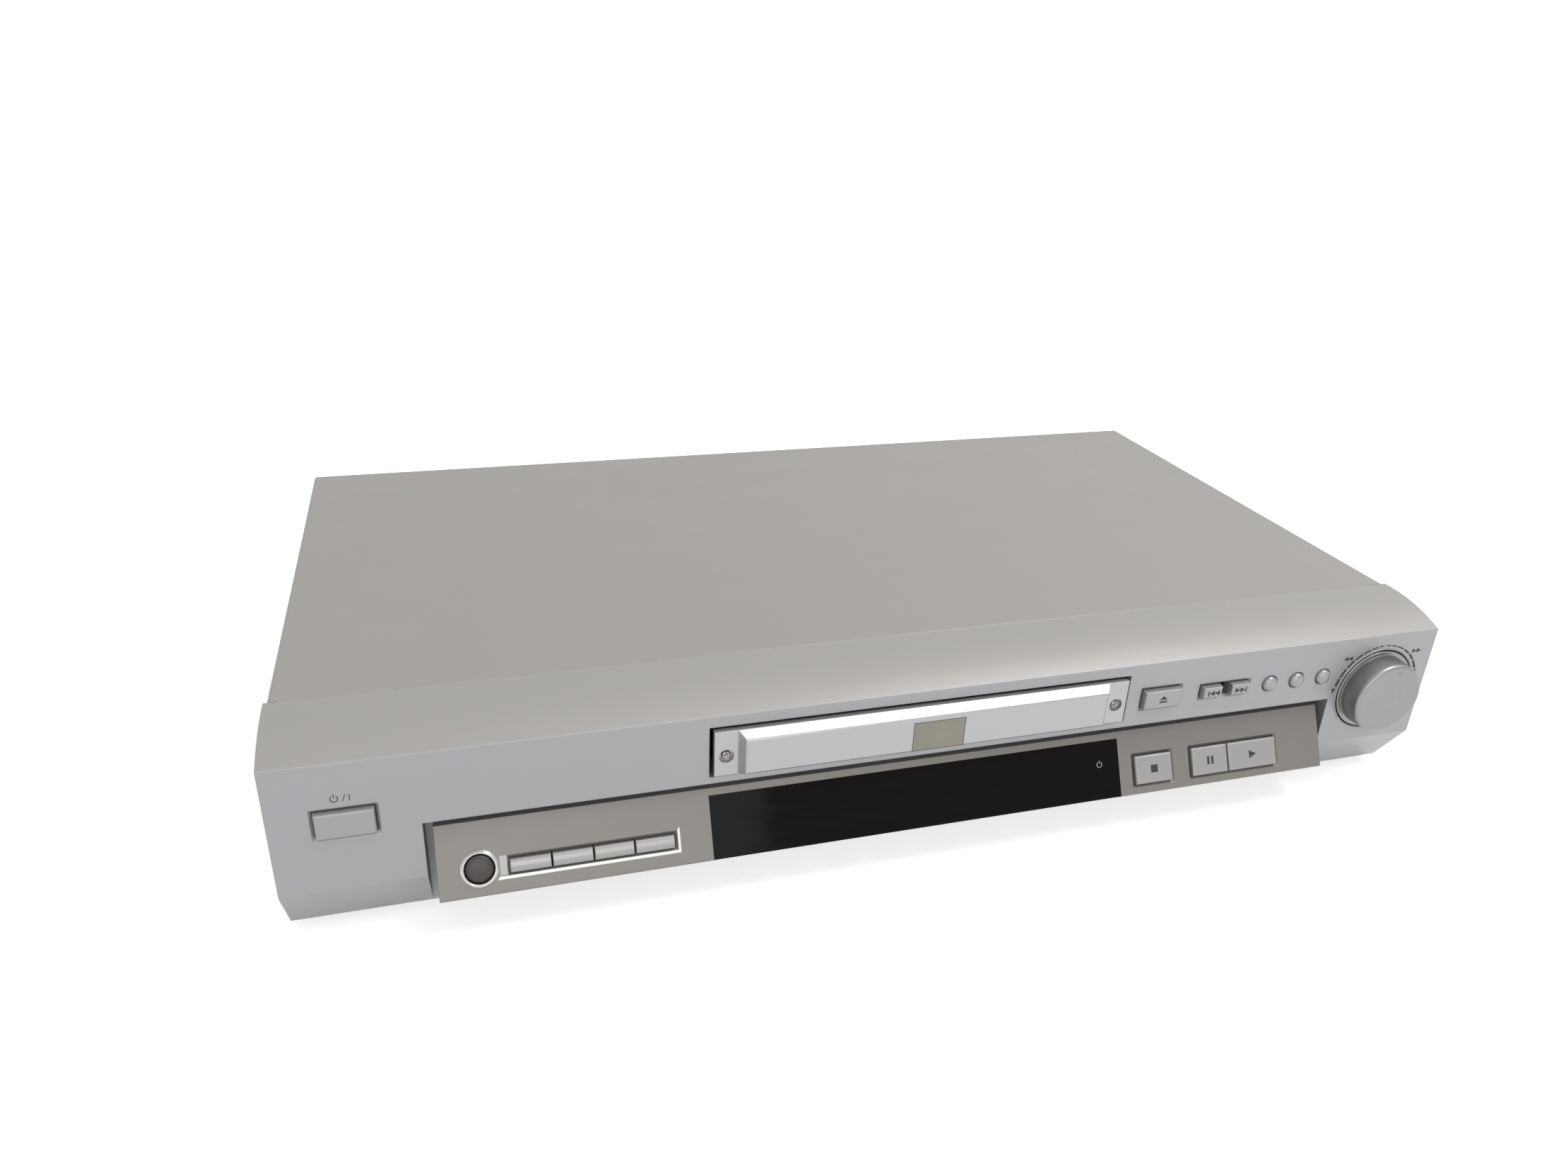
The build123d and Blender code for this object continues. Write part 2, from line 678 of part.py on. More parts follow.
# ------------------------------------------------------------------ rear panel and its sockets
rear_face = rear_inner + rear_thick
rca_pitch = 14.0
rca_columns = [board_side + 16 + n * rca_pitch for n in range(3)]
jack_z = 26.0
rca_rows = (jack_z, jack_z + rca_pitch)
rca_half = rca_pitch / 2     # from a jack to the side of the block that holds it
single_start = rca_columns[-1] + rca_half
single_end = board_end - 9   # the single sockets share the rest of the board's rear edge
rca_spots = [(x, z) for x in rca_columns for z in rca_rows]
rca_radius = 4.15
rca_end = cover_back + 9.3
video_spot = (share(single_start, single_end, 0.234375), jack_z)
optical_spot = (share(single_start, single_end, 0.53125), jack_z)
inlet_centre = (30 - width / 2, 27.0)
inlet_size = (22.0, 13.0)
inlet_lip = 1.6

with BuildPart() as rear_panel:
    slab(front(rear_face), -chassis_half, chassis_half, floor_z, height - cover_thick - 0.2, rear_thick)
    slab(plan(floor_z), -70, 70, rear_inner - 12, rear_inner, rear_thick)
    drum(front(rear_face + 1), rca_spots, rca_radius + 0.8, 3.0, Mode.SUBTRACT, post_sides)
    drum(front(rear_face + 1), [video_spot], 6.0, 3.0, Mode.SUBTRACT, wheel_sides)
    slab(front(rear_face + 1), optical_spot[0] - 5.3, optical_spot[0] + 5.3, optical_spot[1] - 5.3,
         optical_spot[1] + 5.3, 3.0, Mode.SUBTRACT)
    block(front(rear_face + 1), inlet_centre, (inlet_size[0] + 0.4, inlet_size[1] + 0.4), 3.0,
          Mode.SUBTRACT)
    drum(front(rear_face + 1), [(x, rear_screw_z) for x in rear_screw_x], screw_hole, 3.0,
         Mode.SUBTRACT, screw_sides)
    with BuildSketch(front(rear_face + 1)) as louvres:
        for x in (-120.0, 20.0):
            with Locations((x, 50.0)):
                with GridLocations(7.0, 1.0, 6, 1):
                    Rectangle(3, 20)
    extrude(amount=3, mode=Mode.SUBTRACT)
save(rear_panel.part, "rear_panel")

with BuildPart() as mains_inlet:
    block(front(rear_inner), inlet_centre, (inlet_size[0] + 4, inlet_size[1] + 3), 2.0)
    block(front(rear_face + inlet_lip), inlet_centre, inlet_size, 20.0)
    with BuildSketch(front(rear_face + inlet_lip)) as socket:
        with Locations(inlet_centre):
            SlotOverall(14.6, 7.6)
    extrude(amount=14.0, mode=Mode.SUBTRACT)
    pins = [(inlet_centre[0] + s * 4.3, inlet_centre[1]) for s in (-1, 1)]
    drum(front(rear_face - 1), pins, 1.2, 14.0, sides=post_sides)
    foot_low = standoff_top + board_thick
    slab(front(rear_inner - 4), inlet_centre[0] - 9, inlet_centre[0] + 9, foot_low,
         inlet_centre[1] - 5, 14.0)
save(mains_inlet.part, "mains_inlet")

board_top = standoff_top + board_thick
socket_front = rear_inner - 13.0
with BuildPart() as rear_sockets:
    # stacked block behind the six jacks
    slab(plan(board_top), rca_columns[0] - rca_half, rca_columns[-1] + rca_half, socket_front,
         rear_inner - 0.2, rca_rows[-1] + rca_half - board_top)
    drum(front(rear_face + 8.0), rca_spots, rca_radius - 0.9, 12.0, sides=post_sides)
    drum(front(rear_face + 9.0), rca_spots, 1.6, 11.0, Mode.SUBTRACT, screw_sides)
    # round video socket
    slab(plan(board_top), video_spot[0] - 7, video_spot[0] + 7, socket_front, rear_inner - 0.2,
         jack_z + 7 - board_top)
    drum(front(rear_face + 2.0), [video_spot], 5.6, 4.0, sides=wheel_sides)
    drum(front(rear_face + 3.0), [video_spot], 4.6, 7.0, Mode.SUBTRACT, wheel_sides)
    # square optical socket
    slab(plan(board_top), optical_spot[0] - 5, optical_spot[0] + 5, socket_front, rear_inner - 0.2,
         optical_spot[1] + 5 - board_top)
    slab(front(rear_face + 1.5), optical_spot[0] - 5, optical_spot[0] + 5, optical_spot[1] - 5,
         optical_spot[1] + 5, 3.0)
    slab(front(rear_face + 3.0), optical_spot[0] - 3, optical_spot[0] + 3, optical_spot[1] - 3,
         optical_spot[1] + 3, 6.0, Mode.SUBTRACT)
save(rear_sockets.part, "rear_sockets")

with BuildPart() as rca_barrels:
    drum(front(rca_end), rca_spots, rca_radius, rca_end - rear_inner + 0.2)
    drum(front(rca_end + 1), rca_spots, rca_radius - 0.8, rca_end, Mode.SUBTRACT, post_sides)
save(rca_barrels.part, "rca_barrels")

# ------------------------------------------------------------------ circuit boards and their parts
ribbon_depth = 82.0
harness_depth = loader_back + 8.0
chip_spots = [(board_middle + 4, 120.0, 28.0), (board_middle - 26, 165.0, 14.0),
              (board_middle + 29, 165.0, 14.0), (board_middle - 28, 90.0, 12.0)]
with BuildPart() as main_board:
    left, right, near, far = main_board_box
    slab(plan(standoff_top), left, right, near, far, board_thick)
    for x, d, size in chip_spots:
        slab(plan(board_top), x - size / 2, x + size / 2, d - size / 2, d + size / 2, 2.0)
    slab(plan(board_top), ribbon_x - 8, ribbon_x + 8, ribbon_depth - 3, ribbon_depth + 3, plug_height)
    slab(plan(board_top), left + 2, left + 8, harness_depth - 8, harness_depth + 8, plug_height)
    drum(plan(standoff_top - 1), corners(main_board_box, board_inset), screw_hole, 4, Mode.SUBTRACT,
         screw_sides)
save(main_board.part, "main_board")

fin_pitch = 4.0
fin_count = 8
with BuildPart() as power_board:
    left, right, near, far = power_board_box
    slab(plan(standoff_top), left, right, near, far, board_thick)
    slab(plan(board_top), right - 8, right - 2, harness_depth - 8, harness_depth + 8, plug_height)
    # heat sink with its row of fins
    slab(plan(board_top), -170, -170 + fin_pitch * fin_count, 140, 142, 26)
    for n in range(fin_count):
        slab(plan(board_top), -169 + n * fin_pitch, -168 + n * fin_pitch, 142, 150, 26)
    drum(plan(standoff_top - 1), corners(power_board_box, board_inset), screw_hole, 4, Mode.SUBTRACT,
         screw_sides)
save(power_board.part, "power_board")

with BuildPart() as transformer:
    slab(plan(board_top), -135, -105, 92, 116, 5)
    slab(plan(board_top + 5), -132, -108, 97, 111, 16)
    slab(plan(board_top + 5), -136, -104, 100, 108, 20)
    chamfer(transformer.edges().filter_by(Axis.Z).group_by(SortBy.LENGTH)[-1], 1.0)
save(transformer.part, "transformer")

with BuildPart() as capacitors:
    for x, d, radius, tall in ((28 - board_end, 105.0, 9.0, 30.0), (-120.0, 150.0, 5.0, 20.0),
                               (-106.0, 150.0, 5.0, 20.0), (-120.0, 168.0, 4.0, 14.0)):
        drum(plan(board_top), [(x, d)], radius, tall, sides=wheel_sides)
    chamfer(capacitors.faces().filter_by(Axis.Z).sort_by(Axis.Z)[-1].edges(), 0.8)
save(capacitors.part, "capacitors")

with BuildPart() as ribbon_cables:
    rear_of_board = side_board_depth + board_thick + plug_height
    with BuildSketch(side(ribbon_x - ribbon_width / 2)) as front_run:
        with BuildLine() as path:
            FilletPolyline((ribbon_depth, board_top + plug_height), (ribbon_depth, 56.0),
                           (rear_of_board, 56.0), radius=10.0)
        trace(path.edges(), ribbon_thick)
    extrude(amount=ribbon_width)
    with BuildSketch(front(harness_depth + ribbon_width / 2)) as cross_run:
        with BuildLine() as path:
            start = power_board_box[1] - 5
            end = main_board_box[0] + 5
            FilletPolyline((start, board_top + plug_height), (start, 40.0), (end, 40.0),
                           (end, board_top + plug_height), radius=10.0)
        trace(path.edges(), ribbon_thick)
    extrude(amount=ribbon_width)
save(ribbon_cables.part, "ribbon_cables")

# ------------------------------------------------------------------ loader frame
drive_radius = rack_module * drive_teeth / 2
wheel_radius = wheel_module * wheel_teeth / 2
pinion_radius = wheel_module * pinion_teeth / 2
drive_x = rack_line + drive_radius
pulley_x = drive_x + wheel_radius + pinion_radius
motor_x = pulley_x + belt_reach
plate_low = standoff_top
plate_top = plate_low + loader_plate
guide_depth = slider_depth + slider_thick + slip + 1.0
guide_thick = 2.0
pin_reach = hinge_depth - guide_depth
low_sine = math.sin(math.radians(deck_drop))
pin_low = hinge_z - (hinge_depth - slider_depth - slider_thick / 2) * low_sine
ear_inner = lifter_half + 2.5
ear_outer = ear_inner + 4.0
ear_radius = 5.0
bridge_near = spindle_depth - 20.0
bridge_far = spindle_depth + 20.0

with BuildPart() as loader_frame:
    slab(plan(plate_low), -loader_half, loader_half, loader_front, loader_back, loader_plate)
    slab(plan(plate_low - 1), -50, 50, guide_depth + guide_thick + 2, hinge_depth - 8, loader_plate + 2,
         Mode.SUBTRACT)
    for turn in (-1, 1):
        inner, outer = sorted((turn * (loader_half - loader_wall), turn * loader_half))
        slab(plan(plate_top), inner, outer, loader_front, loader_back, channel_top - plate_top)
        slab(plan(plate_top), inner, outer, bridge_near, bridge_far, bridge_z - plate_top)
        inner, outer = sorted((turn * (tray_half - 4.5), turn * (loader_half - loader_wall)))
        slab(plan(channel_floor - 2.3), inner, outer, loader_front, tray_back, 2.3)
        inner, outer = sorted((turn * (tray_half - 3.0), turn * (loader_half - loader_wall)))
        for near, far in ((loader_front, loader_front + 14), (bridge_near, bridge_far), (140, 154)):
            slab(plan(tray_top + slip), inner, outer, near, far, channel_top - tray_top - slip)
    slab(plan(plate_top), -loader_half, loader_half, loader_back - loader_wall, loader_back, 22)
    # shelf for the gears, with their posts and the opening for the motor shaft
    slab(plan(shelf_top - 2), -loader_half + 1, motor_x + 18, loader_front, slider_depth - 1.2, 2)
    drum(plan(shelf_top), [(drive_x, gear_depth)], post_radius, rail_low + 2.6 - shelf_top,
         sides=post_sides)
    drum(plan(shelf_top), [(pulley_x, gear_depth)], post_radius,
         pulley_low + pulley_thick + 0.4 - shelf_top, sides=post_sides)
    drum(plan(shelf_top - 3), [(motor_x, gear_depth)], 3.5, 4, Mode.SUBTRACT, post_sides)
    # legs that carry the shelf's free corner
    slab(plan(plate_top), motor_x + 15.5, motor_x + 18, loader_front, slider_depth - 1.2,
         shelf_top - 2 - plate_top)
    # cross wall with upright slots for the lifter pins, and the track of the cam slider
    slab(front(guide_depth + guide_thick), -loader_half + 1, loader_half - 1, plate_top,
         channel_floor - 2.3, guide_thick)
    for x in (-cam_pin_x, cam_pin_x):
        slab(front(guide_depth + guide_thick + 1), x - cam_pin_radius - 0.8, x + cam_pin_radius + 0.8,
             pin_low - 3.2, hinge_z + 2.6, guide_thick + 2, Mode.SUBTRACT)
    with BuildSketch(side(-57)) as track:
        with BuildLine():
            lip_back = slider_depth - slip
            Polyline((guide_depth, slider_low - 2.6), (lip_back - 1.6, slider_low - 2.6),
                     (lip_back - 1.6, slider_low + 2.6), (lip_back, slider_low + 2.6),
                     (lip_back, slider_low - slip), (guide_depth, slider_low - slip), close=True)
        make_face()
    extrude(amount=114)
    slab(plan(slider_high + slip), -7, 7, slider_depth - 0.8, guide_depth + guide_thick, 1.2)
    slab(plan(slider_high - 2), -7, 7, guide_depth, guide_depth + guide_thick, 2.6)
    # bearing ears of the lifter hinge
    for x in (-ear_outer, ear_inner):
        drum(side(x), [(hinge_depth, hinge_z)], ear_radius, ear_outer - ear_inner, sides=wheel_sides)
        slab(side(x), hinge_depth - ear_radius + 0.1, hinge_depth + ear_radius - 0.1, plate_top - 1, hinge_z,
             ear_outer - ear_inner)
        drum(side(x - 1), [(hinge_depth, hinge_z)], hinge_radius + running, ear_outer - ear_inner + 2,
             Mode.SUBTRACT, post_sides)
    drum(plan(plate_low - 1), loader_feet, screw_hole, 4, Mode.SUBTRACT, screw_sides)
save(loader_frame.part, "loader_frame")

# ------------------------------------------------------------------ clamp bridge and clamper
clamper_neck = 12.0
with BuildPart() as clamp_bridge:
    with BuildSketch(plan(bridge_z)) as strap:
        with Locations((0, spindle_depth)):
            Rectangle(2 * loader_half, bridge_far - bridge_near)
            RegularPolygon(clamper_neck + 0.5, round_sides, major_radius=False, mode=Mode.SUBTRACT)
            with GridLocations(90, 20, 2, 2):
                Rectangle(24, 6, mode=Mode.SUBTRACT)
    extrude(amount=bridge_thick)
    chamfer(clamp_bridge.edges().filter_by(Axis.Z).group_by(Axis.X)[0], 3.0)
    chamfer(clamp_bridge.edges().filter_by(Axis.Z).group_by(Axis.X)[-1], 3.0)
save(clamp_bridge.part, "clamp_bridge")

bridge_top = bridge_z + bridge_thick
clamper_plate = 2.4
spindle_spot = [(0, spindle_depth)]
with BuildPart() as clamper:
    drum(plan(clamper_low), spindle_spot, turntable_radius - 0.5, clamper_plate, sides=wheel_sides)
    drum(plan(clamper_low + clamper_plate), spindle_spot, clamper_neck,
         bridge_top + slip - clamper_low - clamper_plate)
    drum(plan(bridge_top + slip), spindle_spot, clamper_neck + 2.5, 1.2, sides=wheel_sides)
    drum(plan(clamper_low + clamper_plate + 2), spindle_spot, clamper_neck - 3.5, 20, Mode.SUBTRACT,
         wheel_sides)
    drum(plan(clamper_low - 1), spindle_spot, hub_radius + 0.8, clamper_plate + 1, Mode.SUBTRACT,
         wheel_sides)
save(clamper.part, "clamper")


# ------------------------------------------------------------------ loading gears
def involute(angle):
    return math.tan(angle) - angle


def gear_points(teeth, module, phase=0.0):
    """Outline of a spur gear: root and tip of each involute flank, a tooth centred on phase."""
    pitch = module * teeth / 2
    base = pitch * math.cos(math.radians(20))
    half_tooth = math.pi / (2 * teeth) - backlash / 4 / pitch

    def half_angle(radius):
        pressure = math.acos(min(1.0, base / radius))
        return half_tooth + involute(math.radians(20)) - involute(pressure)

    radii = (pitch - 1.2 * module, pitch + 0.9 * module)
    points = []
    for n in range(teeth):
        middle = math.radians(phase) + 2 * math.pi * n / teeth
        flank = [(r, half_angle(max(r, base))) for r in radii]
        for turn, steps in ((-1, flank), (1, flank[::-1])):
            for radius, reach in steps:
                angle = middle + turn * reach
                points.append((radius * math.cos(angle), radius * math.sin(angle)))
    return points


def gear(plane, centre, teeth, module, thick, phase=0.0):
    """One toothed wheel of a gear body."""
    outline = [(centre[0] + x, centre[1] + y) for x, y in gear_points(teeth, module, phase)]
    with BuildSketch(plane) as wheel:
        with BuildLine():
            Polyline(*outline, close=True)
        make_face()
    extrude(wheel.sketch, amount=thick)


drive_low = rail_low
drive_high = rail_low + 2.6
with BuildPart() as drive_gear:
    centre = (drive_x, gear_depth)
    gear(plan(gear_low), centre, wheel_teeth, wheel_module, wheel_thick)
    drum(plan(gear_low), [centre], post_radius + 2.0, drive_high - gear_low, sides=wheel_sides)
    gear(plan(drive_low), centre, drive_teeth, rack_module, drive_high - drive_low, 180.0)
    drum(plan(gear_low - 1), [centre], post_radius + running, drive_high, Mode.SUBTRACT)
save(drive_gear.part, "drive_gear")


belt_low = pulley_low + (pulley_thick - belt_height) / 2
groove_low = belt_low - 2 * slip
groove_high = belt_low + belt_height + 2 * slip


def pulley(x, radius):
    """A grooved pulley, turned about its own axle."""
    spot = [(x, gear_depth)]
    drum(plan(pulley_low), spot, radius, groove_low - pulley_low, sides=wheel_sides)
    drum(plan(groove_low), spot, radius - pulley_groove, groove_high - groove_low, sides=wheel_sides)
    drum(plan(groove_high), spot, radius, pulley_low + pulley_thick - groove_high, sides=wheel_sides)


with BuildPart() as pulley_gear:
    centre = (pulley_x, gear_depth)
    gear(plan(gear_low), centre, pinion_teeth, wheel_module, wheel_thick + 0.7, 180.0 / pinion_teeth)
    drum(plan(gear_low), [centre], post_radius + 1.4, pulley_low + 1 - gear_low, sides=wheel_sides)
    pulley(pulley_x, pulley_radius)
    drum(plan(gear_low - 1), [centre], post_radius + running, 20, Mode.SUBTRACT)
save(pulley_gear.part, "pulley_gear")

motor_shaft = 1.0
motor_top = shelf_top - 2
with BuildPart() as motor_pulley:
    pulley(motor_x, motor_pulley_radius)
    drum(plan(motor_top - 6), [(motor_x, gear_depth)], motor_shaft, pulley_low - motor_top + 6.5)
save(motor_pulley.part, "motor_pulley")

with BuildPart() as loading_motor:
    drum(plan(motor_top - motor_height), [(motor_x, gear_depth)], motor_radius, motor_height,
         sides=round_sides)
    chamfer(loading_motor.faces().sort_by(Axis.Z)[0].edges(), 0.8)
    drum(plan(motor_top), [(motor_x, gear_depth)], 3.0, 1.6, sides=post_sides)
    drum(plan(motor_top - 6.5), [(motor_x, gear_depth)], motor_shaft + running, 9.0, Mode.SUBTRACT,
         post_sides)
save(loading_motor.part, "loading_motor")

belt_inset = 0.15
with BuildPart() as loading_belt:
    grooves = [(pulley_x, pulley_radius - pulley_groove + belt_inset),
               (motor_x, motor_pulley_radius - pulley_groove + belt_inset)]
    for extra, mode in ((belt_thick, Mode.ADD), (0.0, Mode.SUBTRACT)):
        with BuildSketch(plan(belt_low)) as loop:
            for x, radius in grooves:
                with Locations((x, gear_depth)):
                    RegularPolygon(radius + extra, wheel_sides, major_radius=False)
            make_hull()
        extrude(amount=belt_height, mode=mode)
save(loading_belt.part, "loading_belt")

# ------------------------------------------------------------------ tray
rail_inner = tray_half - rail_width
rack_pitch = math.pi * rack_module
rack_first = gear_depth + rack_pitch * (0.5 - round((gear_depth - rack_start) / rack_pitch))
rack_count = int((tray_back - 2 - rack_first) / rack_pitch)
window_radius = 22.0
window_end = 150.0


def rack_points():
    """Outline of the toothed strip, its teeth towards the middle of the tray."""
    points = [(-rail_inner - 0.5, rack_first - rack_pitch), (rack_line - 1.2 * rack_module,
              rack_first - rack_pitch)]
    slope = math.tan(math.radians(20))
    half = rack_pitch / 4 - backlash / 4
    for n in range(rack_count):
        middle = rack_first + n * rack_pitch
        for across, along in ((-1.2, -1), (0.9, -1), (0.9, 1), (-1.2, 1)):
            reach = half - across * rack_module * slope
            points.append((rack_line + across * rack_module, middle + along * reach))
    last = rack_first + rack_count * rack_pitch
    return points + [(rack_line - 1.2 * rack_module, last), (-rail_inner - 0.5, last)]


with BuildPart() as disc_tray:
    with BuildSketch(plan(tray_floor)) as outline:
        with Locations((0, (tray_front_depth + tray_back) / 2)):
            Rectangle(2 * tray_half, tray_back - tray_front_depth)
    extrude(amount=tray_top - tray_floor)
    for left, right in ((-tray_half, -rail_inner), (rail_inner, tray_half)):
        slab(plan(rail_low), left, right, tray_front_depth + 4, tray_back - 2, tray_floor - rail_low)
    # the underside is thinned outside the wells, as a moulding is
    with BuildSketch(plan(tray_floor - 1)) as coring:
        with Locations((0, (tray_front_depth + tray_back) / 2)):
            Rectangle(2 * (rail_inner - 2), tray_back - tray_front_depth - 8)
        with Locations((0, spindle_depth)):
            RegularPolygon(disc_well + tray_skin, round_sides, major_radius=False, mode=Mode.SUBTRACT)
        with Locations((0, (spindle_depth + window_end) / 2 + 5)):
            Rectangle(2 * window_radius + 5, window_end - spindle_depth, mode=Mode.SUBTRACT)
    extrude(amount=tray_top - tray_skin - tray_floor + 1, mode=Mode.SUBTRACT)
    drum(plan(disc_floor), spindle_spot, disc_well, 10, Mode.SUBTRACT, large_sides)
    drum(plan(small_floor), spindle_spot, small_well, 10, Mode.SUBTRACT, large_sides)
    # opening for the turntable and the pickup
    with BuildSketch(plan(tray_floor - 1)) as opening:
        with Locations((0, spindle_depth)):
            RegularPolygon(window_radius, large_sides, major_radius=False)
        with Locations((0, (spindle_depth + window_end) / 2)):
            Rectangle(2 * window_radius, window_end - spindle_depth)
    extrude(amount=10, mode=Mode.SUBTRACT)
    # finger hollows at the front edge of the well
    with BuildSketch(plan(disc_floor)) as hollows:
        with Locations((-44, 22), (44, 22)):
            RegularPolygon(14, wheel_sides)
    extrude(amount=10, mode=Mode.SUBTRACT)
    with BuildSketch(plan(rail_low)) as rack:
        with BuildLine():
            Polyline(*rack_points(), close=True)
        make_face()
    extrude(amount=rack_height)
save(disc_tray.part, "disc_tray")

cap_half = 77.0
cap_low = 47.0
cap_high = 64.2
cap_proud = 1.3
block_proud = 4.7
screw_spot = 72.9
screw_z = 54.5
with BuildPart() as tray_front:
    slab(front(tray_front_depth), -cap_half, cap_half, cap_low, cap_high, tray_front_depth + cap_proud)
    with BuildSketch(front(-cap_proud)) as foot:
        with Locations((0, (47.6 + cap_high) / 2)):
            Rectangle(2 * 69.1, cap_high - 47.6)
    with BuildSketch(front(-block_proud)) as head:
        with Locations((0, (48.7 + 61.9) / 2)):
            Rectangle(2 * 66.8, 61.9 - 48.7)
    loft()
    chamfer(tray_front.faces().sort_by(Axis.Y)[0].edges(), 0.4)
    cap_screws = [(-screw_spot, screw_z), (screw_spot, screw_z)]
    drum(front(0.4), cap_screws, 2.5, 5.0, Mode.SUBTRACT, wheel_sides)
    drum(front(tray_front_depth + 1), cap_screws, 0.8, 5.0, Mode.SUBTRACT, screw_sides)
save(tray_front.part, "tray_front")

with BuildPart() as tray_front_screws:
    for x in (-screw_spot, screw_spot):
        drum(front(0.4), [(x, screw_z)], 1.6, 1.3, sides=post_sides)
        drum(front(tray_front_depth), [(x, screw_z)], 0.7, 1.0, sides=screw_sides)
save(tray_front_screws.part, "tray_front_screws")

# ------------------------------------------------------------------ cam slider
slot_margin = 5.5
pin_slot = cam_pin_radius + 0.55
with BuildPart() as cam_slider:
    near_end = cam_pin_x + slot_margin
    far_end = -cam_pin_x - cam_travel - slot_margin
    with BuildSketch(front(slider_depth + slider_thick)) as bar:
        with Locations(((near_end + far_end) / 2, (slider_low + slider_high) / 2)):
            Rectangle(near_end - far_end, slider_high - slider_low)
        ramp_angle = math.degrees(math.atan2(pin_low - hinge_z, cam_travel))
        for x in (-cam_pin_x, cam_pin_x):
            with Locations((x - cam_travel / 2, (pin_low + hinge_z) / 2)):
                Rectangle(math.hypot(cam_travel, hinge_z - pin_low) + 2 * pin_slot, 2 * pin_slot,
                          rotation=ramp_angle, mode=Mode.SUBTRACT)
    extrude(amount=slider_thick)
save(cam_slider.part, "cam_slider")

# ------------------------------------------------------------------ lifter and pickup deck
bush_spots = [(x, y) for x in (-38.0, 38.0) for y in (-127.0, -22.0)]
lifter_low = -lifter_thick / 2
with BuildPart() as lifter_frame:
    inner_half = lifter_half - lifter_bar
    with BuildSketch(deck(lifter_low)) as ladder:
        with Locations((0, -(lifter_reach + 8) / 2)):
            Rectangle(2 * lifter_half, lifter_reach - 8)
            Rectangle(2 * inner_half, lifter_reach - 8 - 2 * lifter_bar, mode=Mode.SUBTRACT)
    extrude(amount=lifter_thick)
    for turn in (-1, 1):
        inner, outer = sorted((turn * inner_half, turn * lifter_half))
        with BuildSketch(Plane(origin=deck().origin + deck().x_dir * inner, x_dir=deck().y_dir,
                               z_dir=deck().x_dir)) as arm:
            with Locations((-7, 0)):
                Rectangle(14, lifter_thick)
            RegularPolygon(lifter_thick / 2 + 0.6, wheel_sides)
        extrude(amount=outer - inner)
        pin = Plane(origin=deck().origin + deck().x_dir * (turn * lifter_half), x_dir=deck().y_dir,
                    z_dir=deck().x_dir * turn)
        drum(pin, [(0, 0)], hinge_radius, ear_outer - lifter_half + 0.5)
    drum(deck(lifter_low), bush_spots, 6.5, lifter_thick / 2 + 0.5, sides=post_sides)
    drum(deck(lifter_low - 1), bush_spots, 1.2, lifter_thick + 2, Mode.SUBTRACT, screw_sides)
    drum(deck_end(lifter_reach - 2), [(-cam_pin_x, 0), (cam_pin_x, 0)], cam_pin_radius, 10.0,
         sides=post_sides)
save(lifter_frame.part, "lifter_frame")

plate_half = 42.5
plate_front = spindle_reach + 17.0
cut_front = spindle_reach - 10.0
deck_plate_top = deck_plate_low + deck_plate_thick
motor_near = 52.0
holder_top = 9.2
with BuildPart() as traverse_plate:
    with BuildSketch(deck(deck_plate_low)) as sheet:
        with Locations((0, -(plate_front + 16) / 2)):
            Rectangle(2 * plate_half, plate_front - 16)
        with Locations((0, -(cut_front + 36) / 2)):
            Rectangle(2 * 31.3, cut_front - 36, mode=Mode.SUBTRACT)
        with Locations((screw_x, -(cut_front - 5 + motor_near) / 2)):
            Rectangle(4.6, cut_front - 5 - motor_near, mode=Mode.SUBTRACT)
        with Locations((screw_x - 1, -(motor_near + 35) / 2)):
            Rectangle(13.0, motor_near - 35, mode=Mode.SUBTRACT)
        with Locations(*bush_spots):
            RegularPolygon(3.0, screw_sides, major_radius=False, mode=Mode.SUBTRACT)
    extrude(amount=deck_plate_thick)
    for ahead in (cut_front + 4, 36):
        for x in (-rod_x, rod_x):
            slab(deck_end(ahead), x - 3, x + 3, deck_plate_top - 0.5, holder_top, -4.0)
    slab(deck_end(cut_front - 5), screw_x - 3, screw_x + 3, 1.5, 7.5, 4.0)
    for x in (-rod_x, rod_x):
        drum(deck_end(30), [(x, rod_height)], rod_radius + 0.05, cut_front, Mode.SUBTRACT, post_sides)
    drum(deck_end(cut_front - 12), [(screw_x, screw_height)], lead_radius + running, 10.0, Mode.SUBTRACT,
         post_sides)
    drum(deck(deck_plate_low - 1), [(0, -spindle_reach)], 4.1, 4, Mode.SUBTRACT, wheel_sides)
save(traverse_plate.part, "traverse_plate")

with BuildPart() as damping_bushes:
    for x, y in bush_spots:
        drum(deck(0.5), [(x, y)], 4.2, deck_plate_low - 0.5, sides=screw_sides)
        drum(deck(deck_plate_low), [(x, y)], 2.9, deck_plate_thick, sides=screw_sides)
        drum(deck(deck_plate_top), [(x, y)], 4.2, 1.2, sides=screw_sides)
save(damping_bushes.part, "damping_bushes")

with BuildPart() as guide_rods:
    drum(deck_end(33), [(-rod_x, rod_height), (rod_x, rod_height)], rod_radius, cut_front - 26,
         sides=post_sides)
save(guide_rods.part, "guide_rods")

spindle_shaft = 1.0
with BuildPart() as spindle_motor:
    spot = [(0, -spindle_reach)]
    drum(deck(deck_plate_top), spot, 15.0, 1.2, sides=wheel_sides)
    drum(deck(0), spot, 4.0, 12.2, sides=wheel_sides)
    drum(deck(deck_plate_top + 1.2), spot, 10.0, 4.6, sides=wheel_sides)
    with BuildSketch(deck(deck_plate_top + 1.2)) as slots:
        with Locations(spot[0]):
            with PolarLocations(9.0, 6):
                Rectangle(5.0, 1.6)
    extrude(amount=4.6, mode=Mode.SUBTRACT)
    drum(deck(-1), spot, spindle_shaft + running, 15, Mode.SUBTRACT, post_sides)
save(spindle_motor.part, "spindle_motor")

